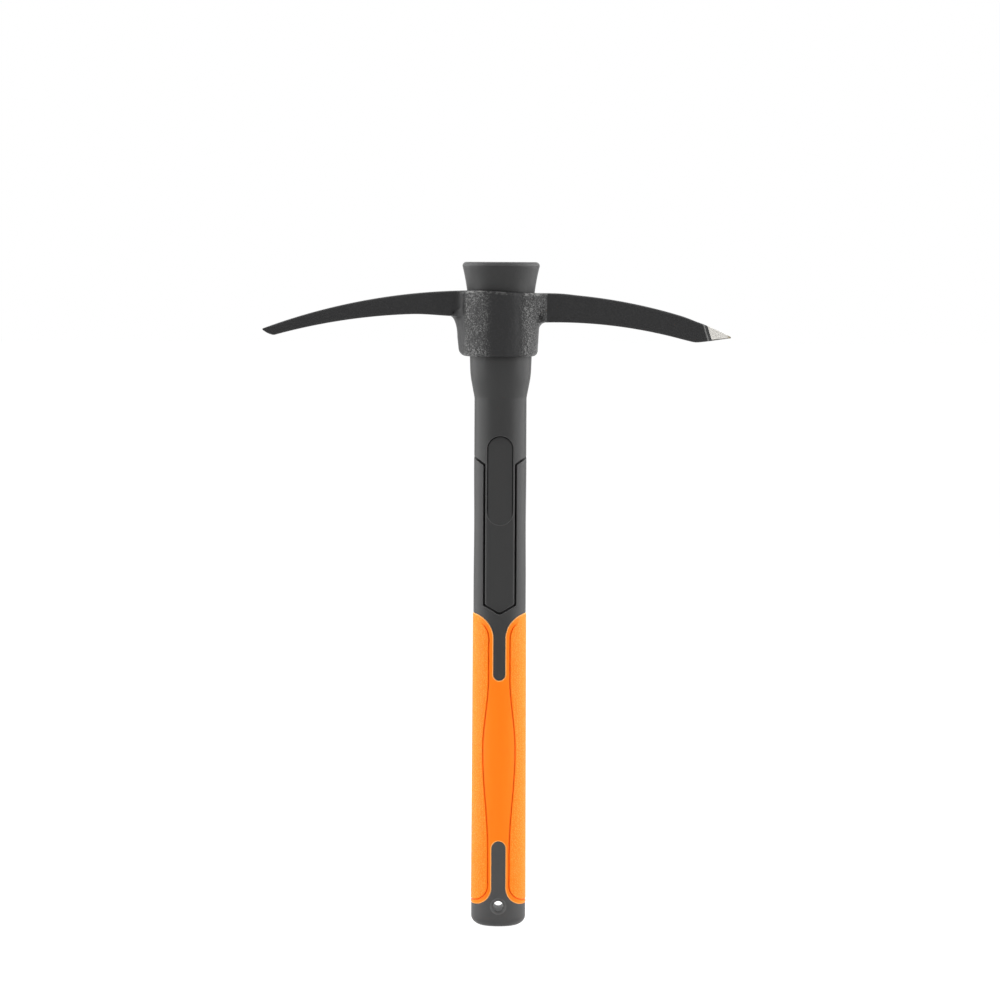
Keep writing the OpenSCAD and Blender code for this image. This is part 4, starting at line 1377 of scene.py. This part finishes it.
def rod_finish(w, c):
    """Pultruded rod: pale resin with long glass fibres."""
    f = Finish("glass_fibre_rod")
    fibres = f.noise(w.fibre_width, 3.0, (1, 1, w.fibre_stretch))
    f.shade(
        Base_Color=f.mix(f.spread(fibres, 0.35, 0.65), c.rod, c.rod_fibre),
        Roughness=f.spread(fibres, 0.3, 0.7, w.rod_rough - w.rod_swing, w.rod_rough + w.rod_swing),
        Normal=f.bump(fibres, w.fibre_relief),
    )
    return f.material


def dress(piece, body, node, material):
    """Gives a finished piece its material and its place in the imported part."""
    piece.data.materials.append(material)
    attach(piece, body)
    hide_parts(node)


class PICK_OT_head(bpy.types.Operator):
    """Builds the forged head"""

    bl_idname = "pick.head"
    bl_label = "Forged head"

    def execute(self, context):
        scene = context.scene
        grids = [grid for side in (-1, 1) for grid in head_grids(scene.pick_head, side)]
        piece = skin("forged_head", grids, FRONT_AND_BACK)
        finish = head_finish(scene.pick_head, scene.pick_finish, scene.pick_colours)
        dress(piece, "head", "pick_head", finish)
        return {"FINISHED"}


class PICK_OT_mouldings(bpy.types.Operator):
    """Builds the neck and the sleeve, and finishes the rod inside them"""

    bl_idname = "pick.mouldings"
    bl_label = "Mouldings and rod"

    def execute(self, context):
        handle, grip = context.scene.pick_handle, context.scene.pick_grip
        w, c = context.scene.pick_finish, context.scene.pick_colours
        neck = skin("moulded_neck", neck_grids(handle), QUARTERS)
        finish = plastic_finish("neck_plastic", w, c, handle.seat_height, c.neck, c.sleeve, w.neck_rough)
        dress(neck, "handle", "neck_moulding", finish)
        sleeve = skin("moulded_sleeve", sleeve_grids(handle, grip), QUARTERS)
        finish = plastic_finish(
            "sleeve_plastic", w, c, handle.seat_height, c.sleeve, c.sleeve_foot, w.sleeve_rough
        )
        dress(sleeve, "handle", "handle_sleeve", finish)
        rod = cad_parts["fibreglass_core"]
        rod.data.materials.clear()
        rod.data.materials.append(rod_finish(w, c))
        return {"FINISHED"}


class PICK_OT_grip(bpy.types.Operator):
    """Builds the soft grip"""

    bl_idname = "pick.grip"
    bl_label = "Soft grip"

    def execute(self, context):
        scene = context.scene
        piece = skin("soft_grip", grip_grids(scene.pick_handle, scene.pick_grip), QUARTERS)
        dress(piece, "handle", "grip", grip_finish(scene.pick_finish, scene.pick_colours))
        return {"FINISHED"}


class PICK_OT_stage(bpy.types.Operator):
    """Sets up the floor, the light and the camera"""

    bl_idname = "pick.stage"
    bl_label = "Studio"

    def execute(self, context):
        scene = context.scene
        lay_floor(scene.pick_stage, scene.pick_finish, scene.pick_colours)
        light_room(scene.pick_stage)
        hang_lamps(scene.pick_stage)
        place_camera(scene.pick_stage)
        scene.view_settings.view_transform = "Standard"
        return {"FINISHED"}


def lay_floor(s, w, c):
    """Pale floor: white to the eye and in reflections, with a faint shadow, and plain to all other
    light."""
    half = s.floor_reach
    mesh = bpy.data.meshes.new("floor")
    corners = [(-half, -half, 0), (half, -half, 0), (half, half, 0), (-half, half, 0)]
    mesh.from_pydata(corners, [], [(0, 1, 2, 3)])
    floor = bpy.data.objects.new("floor", mesh)
    bpy.context.scene.collection.objects.link(floor)
    f = Finish("pale_floor")
    f.shade(Base_Color=(*c.floor, 1), Roughness=w.floor_rough)
    glow = f.add("ShaderNodeEmission", {"Strength": s.floor_glow}).outputs[0]
    share_seen = f.times(seen_or_mirrored(f.tree), s.floor_white)
    both = f.add("ShaderNodeMixShader", {0: share_seen, 1: f.shader.outputs[0], 2: glow}).outputs[0]
    output = next(n for n in f.tree.nodes if n.type == "OUTPUT_MATERIAL")
    f.tree.links.new(both, output.inputs["Surface"])
    mesh.materials.append(f.material)


def seen_or_mirrored(tree):
    """One for what the camera sees itself, in a gloss or through glass, and nothing for all other light."""
    path = tree.nodes.new("ShaderNodeLightPath").outputs
    total = path["Is Camera Ray"]
    for ray in ("Is Glossy Ray", "Is Transmission Ray"):
        both = tree.nodes.new("ShaderNodeMath")
        tree.links.new(total, both.inputs[0])
        tree.links.new(path[ray], both.inputs[1])
        total = both.outputs[0]
    return total


def light_room(s):
    """White to the eye and in reflections, and a dim even room for all other light."""
    world = bpy.data.worlds.new("room")
    bpy.context.scene.world = world
    world.use_nodes = True
    tree = world.node_tree
    background = next(n for n in tree.nodes if n.type == "BACKGROUND")
    background.inputs["Color"].default_value = (1, 1, 1, 1)
    level = tree.nodes.new("ShaderNodeMapRange")
    level.inputs["To Min"].default_value = s.world_strength
    level.inputs["To Max"].default_value = 1.0
    tree.links.new(seen_or_mirrored(tree), level.inputs["Value"])
    tree.links.new(level.outputs[0], background.inputs["Strength"])


def hang_lamps(s):
    """Two large soft lamps beside the handle, one above and behind it, and a weak one above the camera."""
    for side in (-1, 1):
        place = (side * s.lamp_side, -s.lamp_front, s.lamp_level)
        hang_lamp("side_lamp", place, (0, 0, s.lamp_level), s.lamp_width, s.lamp_height, s.side_power)
    before = (0, -s.front_lamp_front, s.front_lamp_level)
    hang_lamp("front_lamp", before, (0, 0, s.aim_z), s.front_lamp_size, s.front_lamp_size, s.front_power)
    above = (0, s.top_lamp_back, s.top_lamp_level)
    hang_lamp("top_lamp", above, (0, s.top_lamp_back, 0), s.top_lamp_size, s.top_lamp_size, s.top_power)


def hang_lamp(name, place, aim, wide, tall, power):
    """One rectangular lamp, turned to its aim."""
    lamp = bpy.data.lights.new(name, "AREA")
    lamp.shape = "RECTANGLE"
    lamp.size = wide
    lamp.size_y = tall
    lamp.energy = power
    holder = bpy.data.objects.new(name, lamp)
    turn = (Vector(aim) - Vector(place)).to_track_quat("-Z", "Y").to_matrix().to_4x4()
    holder.matrix_world = Matrix.Translation(place) @ turn
    bpy.context.scene.collection.objects.link(holder)


def place_camera(s):
    """Camera at the photo's angle, with the picture's width fixed at the handle."""
    lens = bpy.data.cameras.new("camera")
    lens.lens = lens.sensor_width * s.distance / s.view_width
    holder = bpy.data.objects.new("camera", lens)
    aim = Vector((s.aim_x, 0, s.aim_z))
    place = Vector((s.distance * np.sin(s.azimuth), -s.distance * np.cos(s.azimuth), s.camera_height))
    look = (aim - place).to_track_quat("-Z", "Y").to_matrix().to_4x4()
    holder.matrix_world = Matrix.Translation(place) @ look @ Matrix.Rotation(s.roll, 4, "Z")
    bpy.context.scene.collection.objects.link(holder)
    bpy.context.scene.camera = holder


class PICK_PT_panel(bpy.types.Panel):
    """Lists the steps"""

    bl_idname = "PICK_PT_panel"
    bl_label = "Hand pick"
    bl_space_type = "VIEW_3D"
    bl_region_type = "UI"
    bl_category = "Hand pick"

    def draw(self, context):
        for step in STEPS:
            self.layout.operator(step.bl_idname)


STEPS = (PICK_OT_head, PICK_OT_mouldings, PICK_OT_grip, PICK_OT_stage)
GROUPS = {
    "pick_handle": HandleSizes,
    "pick_grip": GripSizes,
    "pick_head": HeadSizes,
    "pick_colours": FinishColours,
    "pick_finish": FinishSizes,
    "pick_stage": StageSettings,
}


def register():
    """Makes the sizes, the steps and the panel known to Blender."""
    for group in (*GROUPS.values(), *STEPS, PICK_PT_panel):
        bpy.utils.register_class(group)
    for name, group in GROUPS.items():
        setattr(bpy.types.Scene, name, PointerProperty(type=group))


def unregister():
    """Takes them away again."""
    for name in GROUPS:
        delattr(bpy.types.Scene, name)
    for group in (PICK_PT_panel, *STEPS, *GROUPS.values()):
        bpy.utils.unregister_class(group)


def main():
    """Builds the whole pick."""
    register()
    bpy.ops.pick.head()
    bpy.ops.pick.mouldings()
    bpy.ops.pick.grip()
    bpy.ops.pick.stage()


if __name__ == "__main__":
    main()
